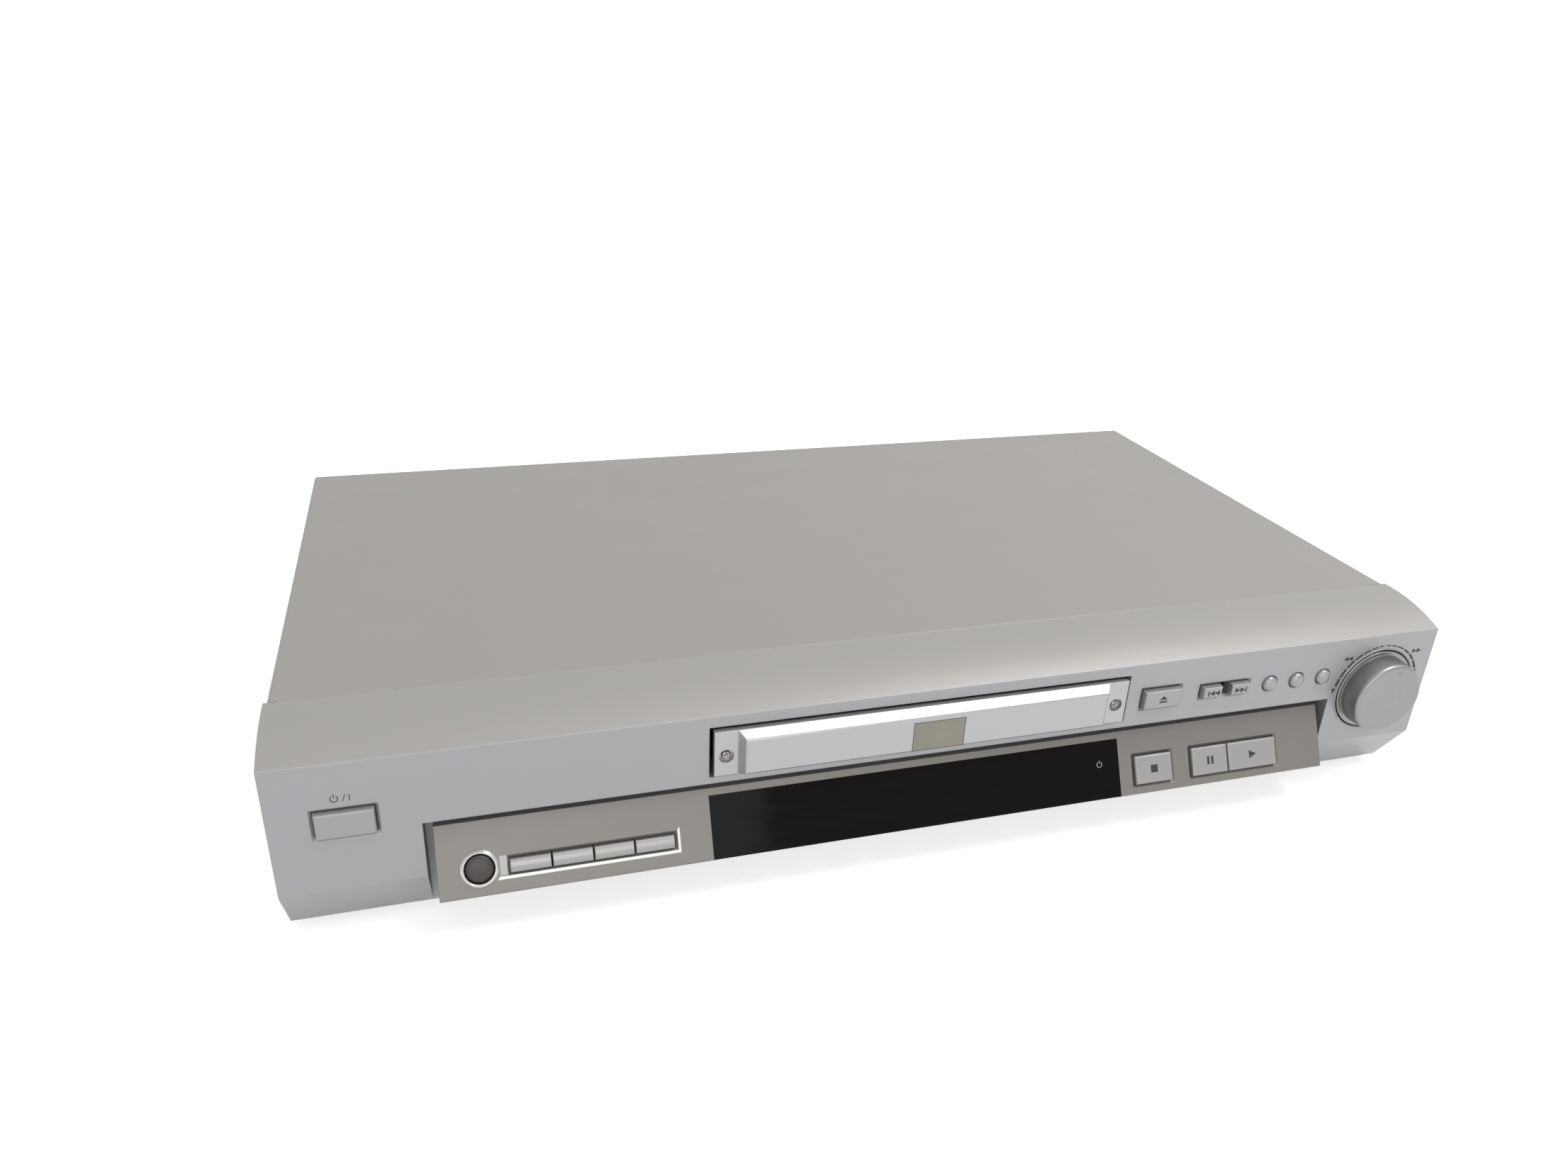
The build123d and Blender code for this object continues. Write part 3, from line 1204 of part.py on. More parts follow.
rotor_radius = 13.6
rotor_low = 7.4
rotor_roof = 12.6
rim_low = 13.5
hub_height = 2.4
with BuildPart() as turntable:
    spot = [(0, -spindle_reach)]
    drum(deck(rim_low), spot, turntable_radius, turntable_seat - rim_low, sides=wheel_sides)
    drum(deck(rotor_low), spot, rotor_radius, rim_low - rotor_low, sides=wheel_sides)
    drum(deck(rotor_low - 1), spot, rotor_radius - 1.2, rotor_roof - rotor_low + 1, Mode.SUBTRACT,
         wheel_sides)
    drum(deck(1), spot, spindle_shaft, rotor_roof)
    drum(deck(turntable_seat), spot, hub_radius, hub_height, sides=wheel_sides)
    top = turntable.faces().sort_by(Axis(deck().origin, deck().z_dir))[-1]
    chamfer(top.edges(), 1.0)
save(turntable.part, "turntable")

sled_y = -(spindle_reach - pickup_inner)
with BuildPart() as optical_pickup:
    slab(deck(4.6), -24, 24, sled_y - 13, sled_y + 13, 4.9)
    with BuildSketch(deck(9.5)) as carriage:
        with Locations((0, sled_y)):
            Rectangle(37, 25)
    extrude(amount=3.0)
    slab(deck(4.4), -30, -24, sled_y - 13, sled_y + 13, 5.2)
    for low, high in ((4.4, 5.3), (8.7, 9.6)):
        slab(deck(low), 24, 30, sled_y - 4, sled_y + 4, high - low)
    slab(deck(screw_height + lead_radius + slip), screw_x - 1.5, -29.5, sled_y - 3, sled_y + 3, 2.2)
    drum(deck_end(-sled_y - 14), [(-rod_x, rod_height)], rod_radius + running, 28, Mode.SUBTRACT,
         post_sides)
    drum(deck(0), [(0, -spindle_reach)], turntable_radius + 1.0, 20, Mode.SUBTRACT, round_sides)
    drum(deck(9.5), [(0, sled_y + 1.5)], 5.2, 10, Mode.SUBTRACT, wheel_sides)
save(optical_pickup.part, "optical_pickup")

lens_radius = 2.6
lens_rise = 1.7
lens_bevel = 0.8
with BuildPart() as objective_lens:
    spot = [(0, sled_y + 1.5)]
    drum(deck(9.5), spot, 4.9, 3.2, sides=wheel_sides)
    drum(deck(12.5), spot, lens_radius, lens_rise, sides=wheel_sides)
    top = objective_lens.faces().sort_by(Axis(deck().origin, deck().z_dir))[-1]
    chamfer(top.edges(), lens_bevel)
save(objective_lens.part, "objective_lens")

screw_front = cut_front - 2.0
with BuildPart() as lead_screw:
    drum(deck_end(motor_near), [(screw_x, screw_height)], lead_radius, screw_front - motor_near)
    drum(deck_end(motor_near - 6), [(screw_x, screw_height)], 1.0, 6.5, sides=screw_sides)
save(lead_screw.part, "lead_screw")

with BuildPart() as sled_motor:
    drum(deck_end(motor_near - 15), [(screw_x, screw_height)], 5.0, 14.0, sides=wheel_sides)
    slab(deck_end(motor_near - 1.0), screw_x - 5, screw_x + 5, screw_height - 5, screw_height + 5, 1.0)
    drum(deck_end(motor_near - 7), [(screw_x, screw_height)], 1.0 + running, 8.0, Mode.SUBTRACT,
         screw_sides)
save(sled_motor.part, "sled_motor")

# ------------------------------------------------------------------ fasteners inside the case
with BuildPart() as chassis_screws:
    for spots, seat in ((board_feet, board_top), (loader_feet, plate_top)):
        drum(plan(seat), spots, head_radius, head_height, sides=screw_sides)
        drum(plan(seat - 6.0), spots, screw_radius, 6.5, sides=screw_sides)
    drum(plan(screw_sink - head_height), foot_spots, head_radius, head_height, sides=screw_sides)
    drum(plan(screw_sink), foot_spots, screw_radius, 4.0, sides=screw_sides)
    drum(front(side_board_depth + board_thick + head_height), board_posts, head_radius, head_height,
         sides=screw_sides)
    drum(front(side_board_depth + board_thick), board_posts, screw_radius, 6.0, sides=screw_sides)
save(chassis_screws.part, "chassis_screws")
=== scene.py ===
"""Looks for the disc player: materials, printed marks, small trim, light and camera.

Lengths are in metres. x runs to the right, y back, z up. The vertical face of the front panel is at y = FACE.
"""
import json
import math

import bmesh
import bpy
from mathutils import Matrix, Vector


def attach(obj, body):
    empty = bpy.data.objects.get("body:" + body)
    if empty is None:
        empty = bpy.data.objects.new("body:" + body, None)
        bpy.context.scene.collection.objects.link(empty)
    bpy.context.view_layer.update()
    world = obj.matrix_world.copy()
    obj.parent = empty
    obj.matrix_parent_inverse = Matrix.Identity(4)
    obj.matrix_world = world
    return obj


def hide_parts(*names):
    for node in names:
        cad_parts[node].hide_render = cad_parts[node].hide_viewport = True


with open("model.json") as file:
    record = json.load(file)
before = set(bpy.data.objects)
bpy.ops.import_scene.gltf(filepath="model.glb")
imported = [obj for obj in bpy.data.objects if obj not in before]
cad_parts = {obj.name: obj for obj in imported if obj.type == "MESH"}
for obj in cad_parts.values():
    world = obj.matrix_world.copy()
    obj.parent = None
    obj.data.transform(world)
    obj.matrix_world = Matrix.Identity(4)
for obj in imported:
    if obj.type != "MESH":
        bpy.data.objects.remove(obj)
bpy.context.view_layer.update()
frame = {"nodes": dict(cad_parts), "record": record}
nodes = frame["nodes"]

MM = 0.001
FACE = -0.120
SLOPE = math.radians(25.8)
CHIN = Vector((0, FACE - 0.008, 0.0178))
SLOPE_UP = Vector((0, math.sin(SLOPE), math.cos(SLOPE)))
SLOPE_OUT = Vector((0, -math.cos(SLOPE), math.sin(SLOPE)))
REAR = FACE + 0.2387
RIGHT = Vector((1, 0, 0))
FRONT = Vector((0, -1, 0))
BACK = Vector((0, 1, 0))
TOP = Vector((0, 0, 1))

# places on the front, in millimetres
KNOB = (191.1, 45.5)
KEY_ROW = 54.5                  # height of the keys beside the tray
CONSOLE_ROW = 9.0               # keys on the console, up from its lower edge
SLOT_HALF = 78.4                # half the tray's opening
POWER_MARK = (-194.6, 56.9)
STANDBY_MARK = (70.0, 13.2)
MODE_FIRST = -138.3             # middle of the first mode button, and the step to the next
MODE_STEP = 13.55
DIAL_RADIUS = 19.2

# heights and depths, in metres
RIDGE = (0.0692, 0.0700)        # where the face's tone gives way to the crown's
SPINDLE_DEPTH = 0.074           # middle of the disc well, behind the face
WELL_RADIUS = 0.0608
WELL_FLOOR = 0.05445
FINGER_DEPTH = 0.022
COVER_SIDE = 0.2142
COVER_END = 0.2395

FLOOR_LIFT = 0.56               # light of its own that brings the floor up to white


def on_face(x, z, out=0.0):
    """A point on the vertical face, in millimetres, standing out towards the viewer."""
    return Vector((x * MM, FACE - out * MM, z * MM))


def on_console(x, up, out=0.0):
    """A point on the slope of the console, up from its lower edge, standing out from it."""
    return CHIN + Vector((x * MM, 0, 0)) + SLOPE_UP * (up * MM) + SLOPE_OUT * (out * MM)


def on_rear(x, z, out=0.0):
    """A point on the rear panel, standing out behind it. x is the row's own x."""
    return Vector((x * MM, REAR + out * MM, z * MM))


# ------------------------------------------------------------------ materials
def material(name, color, metallic=0.0, roughness=0.5, coat=0.0, coat_roughness=0.1, ior=1.45):
    """A principled material, with its plain values on the shader's own sockets."""
    mat = bpy.data.materials.new(name)
    mat.use_nodes = True
    shader = mat.node_tree.nodes["Principled BSDF"]
    shader.inputs["Base Color"].default_value = (*color, 1)
    shader.inputs["Metallic"].default_value = metallic
    shader.inputs["Roughness"].default_value = roughness
    shader.inputs["IOR"].default_value = ior
    shader.inputs["Coat Weight"].default_value = coat
    shader.inputs["Coat Roughness"].default_value = coat_roughness
    mat.diffuse_color = (*color, 1)
    return mat


def tools(mat):
    tree = mat.node_tree
    return tree.nodes, tree.links, tree.nodes["Principled BSDF"]


def place(mat, scale=(1, 1, 1)):
    """The object's own coordinates, stretched for grain that runs one way."""
    new, link, _ = tools(mat)
    coords = new.new("ShaderNodeTexCoord")
    mapping = new.new("ShaderNodeMapping")
    mapping.inputs["Scale"].default_value = scale
    link.new(coords.outputs["Object"], mapping.inputs["Vector"])
    return mapping.outputs["Vector"]


def noise(mat, vector, scale, detail=3.0, rough=0.6):
    new, link, _ = tools(mat)
    node = new.new("ShaderNodeTexNoise")
    node.inputs["Scale"].default_value = scale
    node.inputs["Detail"].default_value = detail
    node.inputs["Roughness"].default_value = rough
    link.new(vector, node.inputs["Vector"])
    return node.outputs["Fac"]


def spread(mat, value, low, high):
    """Maps a noise value to a narrow band, such as of roughness."""
    new, link, _ = tools(mat)
    node = new.new("ShaderNodeMapRange")
    node.inputs["From Min"].default_value = 0.3
    node.inputs["From Max"].default_value = 0.7
    node.inputs["To Min"].default_value = low
    node.inputs["To Max"].default_value = high
    link.new(value, node.inputs["Value"])
    return node.outputs["Result"]


def blend(mat, value, dark, light):
    """Mixes two colours by a value from 0 to 1."""
    new, link, _ = tools(mat)
    node = new.new("ShaderNodeMix")
    node.data_type = "RGBA"
    node.inputs["A"].default_value = (*dark, 1)
    node.inputs["B"].default_value = (*light, 1)
    link.new(value, node.inputs["Factor"])
    return node.outputs["Result"]


def bump(mat, value, depth, strength=1.0, edge=0.0):
    """Surface relief, over an edge rounding that only catches the light."""
    new, link, shader = tools(mat)
    node = new.new("ShaderNodeBump")
    node.inputs["Strength"].default_value = strength
    node.inputs["Distance"].default_value = depth
    link.new(value, node.inputs["Height"])
    if edge:
        soft = new.new("ShaderNodeBevel")
        soft.samples = 4
        soft.inputs["Radius"].default_value = edge
        link.new(soft.outputs["Normal"], node.inputs["Normal"])
    link.new(node.outputs["Normal"], shader.inputs["Normal"])


def painted_edge_highlight(mat, inner, color, highlight_color, reach=0.0006):
    """Lighter colour painted along edges as a highlight, found from the bevelled normal."""
    new, link, shader = tools(mat)
    soft = new.new("ShaderNodeBevel")
    soft.samples = 4
    soft.inputs["Radius"].default_value = reach
    geometry = new.new("ShaderNodeNewGeometry")
    dot = new.new("ShaderNodeVectorMath")
    dot.operation = "DOT_PRODUCT"
    link.new(soft.outputs["Normal"], dot.inputs[0])
    link.new(geometry.outputs["Normal"], dot.inputs[1])
    edge = new.new("ShaderNodeMapRange")
    edge.inputs["From Min"].default_value = 0.98
    edge.inputs["From Max"].default_value = 0.80
    edge.inputs["To Min"].default_value = 0.0
    edge.inputs["To Max"].default_value = 0.8
    link.new(dot.outputs["Value"], edge.inputs["Value"])
    times = new.new("ShaderNodeMath")
    times.operation = "MULTIPLY"
    link.new(edge.outputs["Result"], times.inputs[0])
    link.new(inner, times.inputs[1])
    mix = new.new("ShaderNodeMix")
    mix.data_type = "RGBA"
    mix.inputs["B"].default_value = (*highlight_color, 1)
    link.new(times.outputs["Value"], mix.inputs["Factor"])
    link.new(color, mix.inputs["A"])
    link.new(mix.outputs["Result"], shader.inputs["Base Color"])


def by_height(mat, low, high):
    """A value that goes from 0 to 1 between two heights above the table."""
    new, link, _ = tools(mat)
    coords = new.new("ShaderNodeTexCoord")
    parts = new.new("ShaderNodeSeparateXYZ")
    node = new.new("ShaderNodeMapRange")
    node.inputs["From Min"].default_value = low
    node.inputs["From Max"].default_value = high
    link.new(coords.outputs["Object"], parts.inputs["Vector"])
    link.new(parts.outputs["Z"], node.inputs["Value"])
    return node.outputs["Result"]


def silver_paint(name, tone, metallic=0.45, roughness=0.42, grain=0.10, edge=0.0004, flake=9000.0,
                 crown=None):
    """Silver paint on plastic or steel: fine metal flakes, faint clouding, edges that catch the light, with a
    painted highlight in their colour.

    A crown tone is a warmer, slightly darker tone given above the ridge of the front panel."""
    mat = material(name, tone, metallic, roughness)
    new, link, shader = tools(mat)
    where = place(mat)
    flakes = noise(mat, where, flake, 2.0, 0.7)
    clouds = noise(mat, where, 28.0, 4.0, 0.6)
    dark = [c * (1 - grain) for c in tone]
    light = [min(1.0, c * (1 + grain)) for c in tone]
    speckle = blend(mat, spread(mat, flakes, 0.0, 1.0), dark, light)
    if crown:
        upper = new.new("ShaderNodeMix")
        upper.data_type = "RGBA"
        upper.inputs["B"].default_value = (*crown, 1)
        link.new(by_height(mat, *RIDGE), upper.inputs["Factor"])
        link.new(speckle, upper.inputs["A"])
        speckle = upper.outputs["Result"]
    # a painted highlight: edges lighter in colour, in patches set by the clouding
    painted_edge_highlight(mat, spread(mat, clouds, 0.3, 1.0), speckle, [min(1.0, c * 1.35) for c in tone])
    link.new(spread(mat, clouds, roughness - 0.03, roughness + 0.04), shader.inputs["Roughness"])
    bump(mat, flakes, 0.00001, 0.5, edge)
    return mat


def moulded(name, tone, roughness=0.5, texture=2600.0, depth=0.00002, edge=0.0003, coat=0.0):
    """Moulded plastic with a fine spark-eroded texture."""
    mat = material(name, tone, 0.0, roughness, coat)
    _, link, shader = tools(mat)
    where = place(mat)
    fine = noise(mat, where, texture, 3.0, 0.6)
    broad = noise(mat, where, 40.0, 3.0, 0.5)
    dark = [c * 0.92 for c in tone]
    light = [min(1, c * 1.08) for c in tone]
    link.new(blend(mat, spread(mat, broad, 0.0, 1.0), dark, light), shader.inputs["Base Color"])
    link.new(spread(mat, broad, roughness - 0.05, roughness + 0.05), shader.inputs["Roughness"])
    bump(mat, fine, depth, 0.6, edge)
    return mat


def sheet_steel(name, tone, roughness=0.34, metallic=0.9, along=(1, 14, 14)):
    """Plated sheet steel with rolling marks that run one way."""
    mat = material(name, tone, metallic, roughness)
    _, link, shader = tools(mat)
    streaks = noise(mat, place(mat, along), 90.0, 5.0, 0.65)
    spangle = noise(mat, place(mat), 240.0, 2.0, 0.4)
    dark = [c * 0.86 for c in tone]
    light = [min(1, c * 1.06) for c in tone]
    link.new(blend(mat, spread(mat, spangle, 0.0, 1.0), dark, light), shader.inputs["Base Color"])
    link.new(spread(mat, streaks, roughness - 0.08, roughness + 0.10), shader.inputs["Roughness"])
    bump(mat, streaks, 0.00001, 0.4, 0.0002)
    return mat


def turned_metal(name, tone, center, roughness=0.25, metallic=1.0):
    """Metal with concentric turning marks about an axis along y through a point."""
    mat = material(name, tone, metallic, roughness)
    new, link, shader = tools(mat)
    coords = new.new("ShaderNodeTexCoord")
    shift = new.new("ShaderNodeVectorMath")
    shift.operation = "SUBTRACT"
    shift.inputs[1].default_value = center
    link.new(coords.outputs["Object"], shift.inputs[0])
    flat = new.new("ShaderNodeVectorMath")
    flat.operation = "MULTIPLY"
    flat.inputs[1].default_value = (1, 0, 1)
    link.new(shift.outputs["Vector"], flat.inputs[0])
    radius = new.new("ShaderNodeVectorMath")
    radius.operation = "LENGTH"
    link.new(flat.outputs["Vector"], radius.inputs[0])
    lines = new.new("ShaderNodeTexNoise")
    lines.noise_dimensions = "1D"
    lines.inputs["Scale"].default_value = 2600.0
    lines.inputs["Detail"].default_value = 3.0
    link.new(radius.outputs["Value"], lines.inputs["W"])
    marks = lines.outputs["Fac"]
    dark = [c * 0.93 for c in tone]
    light = [min(1, c * 1.05) for c in tone]
    link.new(spread(mat, marks, roughness - 0.06, roughness + 0.10), shader.inputs["Roughness"])
    link.new(blend(mat, spread(mat, marks, 0.0, 1.0), dark, light), shader.inputs["Base Color"])
    bump(mat, marks, 0.000012, 0.5, 0.0004)
    round_about = new.new("ShaderNodeTangent")
    round_about.direction_type = "RADIAL"
    round_about.axis = "Y"
    link.new(round_about.outputs["Tangent"], shader.inputs["Tangent"])
    shader.inputs["Anisotropic"].default_value = 0.7
    return mat


def circuit_board(name, tone):
    """Solder mask with faint tracks under it."""
    mat = material(name, tone, 0.0, 0.35, 0.3)
    new, link, shader = tools(mat)
    where = place(mat)
    tracks = new.new("ShaderNodeTexBrick")
    tracks.offset = 0.35
    tracks.inputs["Scale"].default_value = 60.0
    tracks.inputs["Mortar Size"].default_value = 0.03
    tracks.inputs["Brick Width"].default_value = 0.9
    tracks.inputs["Row Height"].default_value = 0.12
    tracks.inputs["Color1"].default_value = (*tone, 1)
    tracks.inputs["Color2"].default_value = (*[c * 0.9 for c in tone], 1)
    tracks.inputs["Mortar"].default_value = (*[min(1, c * 1.6 + 0.02) for c in tone], 1)
    link.new(where, tracks.inputs["Vector"])
    link.new(tracks.outputs["Color"], shader.inputs["Base Color"])
    bump(mat, tracks.outputs["Fac"], 0.00003, 0.4)
    return mat


def wound_core(name, tone):
    """A transformer: core laminations with the tape of its winding."""
    mat = material(name, tone, 0.0, 0.45)
    new, link, shader = tools(mat)
    bands = new.new("ShaderNodeTexWave")
    bands.bands_direction = "Z"
    bands.inputs["Scale"].default_value = 420.0
    bands.inputs["Distortion"].default_value = 0.4
    link.new(place(mat), bands.inputs["Vector"])
    link.new(blend(mat, bands.outputs["Fac"], [c * 0.6 for c in tone], tone), shader.inputs["Base Color"])
    bump(mat, bands.outputs["Fac"], 0.00005, 0.5)
    return mat


def smoked(name, tone):
    """Dark clear plastic or coated glass, with the faint clouding of a wiped surface in its gloss."""
    mat = material(name, tone, 0.0, 0.08, 0.0, 0.03, 1.3)
    _, link, shader = tools(mat)
    shader.inputs["Specular IOR Level"].default_value = 0.18
    wiped = noise(mat, place(mat, (1, 6, 6)), 30.0, 4.0, 0.6)
    link.new(spread(mat, wiped, 0.05, 0.16), shader.inputs["Roughness"])
    light = [c * 1.5 for c in tone]
    link.new(blend(mat, spread(mat, wiped, 0.0, 1.0), tone, light), shader.inputs["Base Color"])
    return mat


looks = {
    "cover_paint": silver_paint("cover_paint", (0.355, 0.340, 0.325), 0.35, 0.46, 0.08, 0.0006, 7000.0),
    "face_plastic": silver_paint("face_plastic", (0.385, 0.387, 0.402), 0.40, 0.40, 0.07, 0.0005,
                                 crown=(0.375, 0.362, 0.347)),
    "console_plastic": silver_paint("console_plastic", (0.225, 0.214, 0.198), 0.35, 0.42, 0.08),
    "tray_front_plastic": silver_paint("tray_front_plastic", (0.44, 0.443, 0.455), 0.55, 0.30, 0.06),
    "button_plastic": silver_paint("button_plastic", (0.365, 0.357, 0.352), 0.45, 0.34, 0.06, 0.0004),
    "knob_plastic": turned_metal("knob_plastic", (0.285, 0.28, 0.278), on_face(*KNOB), 0.31, 0.80),
    "memory_dark": moulded("memory_dark", (0.055, 0.048, 0.045), 0.40),
    "window_gloss": smoked("window_gloss", (0.004, 0.003, 0.003)),
    "chassis_steel": sheet_steel("chassis_steel", (0.62, 0.63, 0.61)),
    "rear_steel": moulded("rear_steel", (0.035, 0.035, 0.037), 0.45, 1800.0, 0.00003),
    "deck_steel": sheet_steel("deck_steel", (0.66, 0.66, 0.63), 0.28, 0.95, (14, 1, 14)),
    "core_steel": wound_core("core_steel", (0.42, 0.32, 0.12)),
    "can_aluminium": moulded("can_aluminium", (0.045, 0.05, 0.09), 0.3, 900.0, 0.00001, 0.0004, 0.4),
    "tube_glass": smoked("tube_glass", (0.02, 0.03, 0.03)),
    "board_green": circuit_board("board_green", (0.02, 0.13, 0.05)),
    "board_tan": circuit_board("board_tan", (0.30, 0.20, 0.09)),
    "switch_black": moulded("switch_black", (0.022, 0.022, 0.023), 0.42),
    "foot_plastic": moulded("foot_plastic", (0.02, 0.02, 0.021), 0.7, 1500.0, 0.00004, 0.0005),
    "socket_black": moulded("socket_black", (0.025, 0.025, 0.026), 0.38),
    "jack_metal": sheet_steel("jack_metal", (0.78, 0.70, 0.48), 0.18, 1.0, (14, 1, 14)),
    "loader_plastic": moulded("loader_plastic", (0.030, 0.030, 0.032), 0.48),
    "tray_plastic": moulded("tray_plastic", (0.055, 0.055, 0.058), 0.44, 2200.0, 0.00003),
    "gear_plastic": moulded("gear_plastic", (0.78, 0.75, 0.66), 0.35, 1500.0, 0.00001, 0.0002, 0.2),
    "turntable_plastic": moulded("turntable_plastic", (0.035, 0.035, 0.037), 0.36),
    "motor_steel": sheet_steel("motor_steel", (0.60, 0.59, 0.56), 0.25, 1.0, (1, 1, 14)),
    "belt_rubber": moulded("belt_rubber", (0.016, 0.016, 0.016), 0.75, 1200.0, 0.00003, 0.0002),
    "screw_steel": sheet_steel("screw_steel", (0.62, 0.61, 0.58), 0.26, 1.0),
    "screw_dark": sheet_steel("screw_dark", (0.36, 0.33, 0.30), 0.30, 1.0),
    "ribbon_plastic": moulded("ribbon_plastic", (0.70, 0.70, 0.67), 0.5, 700.0, 0.00002, 0.0),
    "rod_chrome": sheet_steel("rod_chrome", (0.78, 0.78, 0.78), 0.10, 1.0, (14, 1, 14)),
    "pickup_cast": sheet_steel("pickup_cast", (0.42, 0.42, 0.43), 0.42, 0.9, (4, 4, 4)),
    "lens_glass": smoked("lens_glass", (0.20, 0.26, 0.50)),
}

slot_of = {part["node"]: part["material_slot"] for part in frame["record"]["subparts"]}
for name, item in nodes.items():
    look = looks[slot_of[name]]
    if not item.data.materials:
        item.data.materials.append(look)
    for index in range(len(item.material_slots)):
        item.material_slots[index].material = look

# ------------------------------------------------------------------ printed marks and small trim
ink = moulded("ink", (0.035, 0.035, 0.04), 0.5, 3000.0, 0.000004, 0.0)
pale_ink = moulded("pale_ink", (0.42, 0.42, 0.43), 0.4, 3000.0, 0.000004, 0.0)
foil = moulded("foil", (0.33, 0.31, 0.26), 0.40, 3000.0, 0.000006, 0.0)
painted_plate_shadow = moulded("painted_plate_shadow", (0.10, 0.09, 0.07), 0.45, 1600.0, 0.000006, 0.0)
bright_trim_and_highlight = silver_paint("bright_trim_and_highlight", (0.62, 0.615, 0.60), 0.6, 0.30, 0.05)
jack_yellow = moulded("jack_yellow", (0.80, 0.55, 0.03), 0.35)
jack_white = moulded("jack_white", (0.78, 0.78, 0.76), 0.35)
jack_red = moulded("jack_red", (0.60, 0.03, 0.02), 0.35)


def build(name, vertices, faces, body, look, sharp=None):
    """A piece from points and faces, its normals made to point out, riding on a body."""
    mesh = bpy.data.meshes.new(name)
    mesh.from_pydata([tuple(v) for v in vertices], [], faces)
    work = bmesh.new()
    work.from_mesh(mesh)
    bmesh.ops.recalc_face_normals(work, faces=work.faces)
    work.to_mesh(mesh)
    work.free()
    mesh.materials.append(look)
    if sharp:
        for polygon in mesh.polygons:
            polygon.use_smooth = True
        mesh.set_sharp_from_angle(angle=math.radians(sharp))
    piece = bpy.data.objects.new(name, mesh)
    bpy.context.collection.objects.link(piece)
    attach(piece, body)
    return piece


def shape(name, rings, body, look, thick=0.05):
    """A thin printed shape: flat outlines, each given as points, with their outward direction."""
    vertices = []
    faces = []
    for points, out in rings:
        first = len(vertices)
        count = len(points)
        vertices += points + [p + out * (thick * MM) for p in points]
        faces.append([first + count + n for n in range(count)])
        faces.append([first + count - 1 - n for n in range(count)])
        for n in range(count):
            after = (n + 1) % count
            faces.append([first + n, first + after, first + count + after, first + count + n])
    return build(name, vertices, faces, body, look)


def lathe(name, places, profile, body, look, steps=64, cross=0.0):
    """Turned pieces: a profile of radius and height in millimetres, at each point, direction and side.

    A profile from axis to axis makes a solid, any other closes on itself. A cross cuts a driver recess."""
    vertices = []
    faces = []
    for spot, out, side in places:
        up = out.cross(side)
        rows = []
        for radius, rise in profile:
            first = len(vertices)
            count = steps if radius else 1
            for n in range(count):
                angle = 2 * math.pi * n / steps
                u, v = radius * math.cos(angle), radius * math.sin(angle)
                sunk = cross and radius < cross and min(abs(u), abs(v)) < 0.3 * cross
                height = rise - (0.7 * (1 - 0.6 * radius / cross) if sunk else 0)
                vertices.append(spot + side * (u * MM) + up * (v * MM) + out * (height * MM))
            rows.append([first + n % count for n in range(steps)])
        pairs = list(zip(rows, rows[1:]))
        if profile[0][0]:
            pairs.append((rows[-1], rows[0]))
        for low, high in pairs:
            for n in range(steps):
                after = (n + 1) % steps
                corners = [low[n], low[after], high[after], high[n]]
                faces.append(list(dict.fromkeys(corners)))
    return build(name, vertices, faces, body, look, 35)


def flat(spot, out, outline):
    """Moves a flat outline, given in millimetres about a centre, on to a surface."""
    return [spot(x, z) for x, z in outline], out


def box_at(x, z, wide, high):
    return [(x - wide / 2, z - high / 2), (x + wide / 2, z - high / 2), (x + wide / 2, z + high / 2),
            (x - wide / 2, z + high / 2)]


def arrow_at(x, z, wide, high, turn=1):
    """A triangle that points right, or left with turn -1."""
    base, tip = x - turn * wide / 2, x + turn * wide / 2
    return [(base, z - high / 2), (tip, z), (base, z + high / 2)]


def face_spot(out):
    return lambda x, z: on_face(x, z, out)


def console_spot(out):
    return lambda x, up: on_console(x, up, out)


def arc(x, z, radius, width, start, end, steps):
    """Part of a ring as a closed outline; angles in degrees from straight up, clockwise."""
    outer = []
    inner = []
    for n in range(steps + 1):
        angle = math.radians(start + (end - start) * n / steps)
        outer.append((x + radius * math.sin(angle), z + radius * math.cos(angle)))
        inner.append((x + (radius - width) * math.sin(angle), z + (radius - width) * math.cos(angle)))
    return (outer + inner[::-1])[::-1]


def strips(x, z, radius, width, start, end, steps=14):
    """The same ring part as a row of small four-sided pieces, so that each is convex."""
    pieces = []
    for n in range(steps):
        low = start + (end - start) * n / steps
        high = start + (end - start) * (n + 1) / steps
        pieces.append(arc(x, z, radius, width, low, high, 1))
    return pieces


# power mark over the power button: a broken circle with a stroke
spot = face_spot(0)
x, z = POWER_MARK
power = strips(x, z, 1.25, 0.28, 35, 325, 16) + [box_at(x, 57.9, 0.28, 1.3)]
power += [[(-192.4, 55.7), (-192.15, 55.7), (-191.2, 58.1), (-191.45, 58.1)], box_at(-190.2, z, 0.28, 2.3)]
shape("power_mark", [flat(spot, FRONT, p) for p in power], "chassis", ink)

x, z = STANDBY_MARK
standby = strips(x, z, 1.15, 0.25, 35, 325, 14) + [box_at(x, 14.1, 0.25, 1.1)]
shape("standby_mark", [flat(console_spot(0), SLOPE_OUT, p) for p in standby], "chassis", pale_ink,
      0.03)

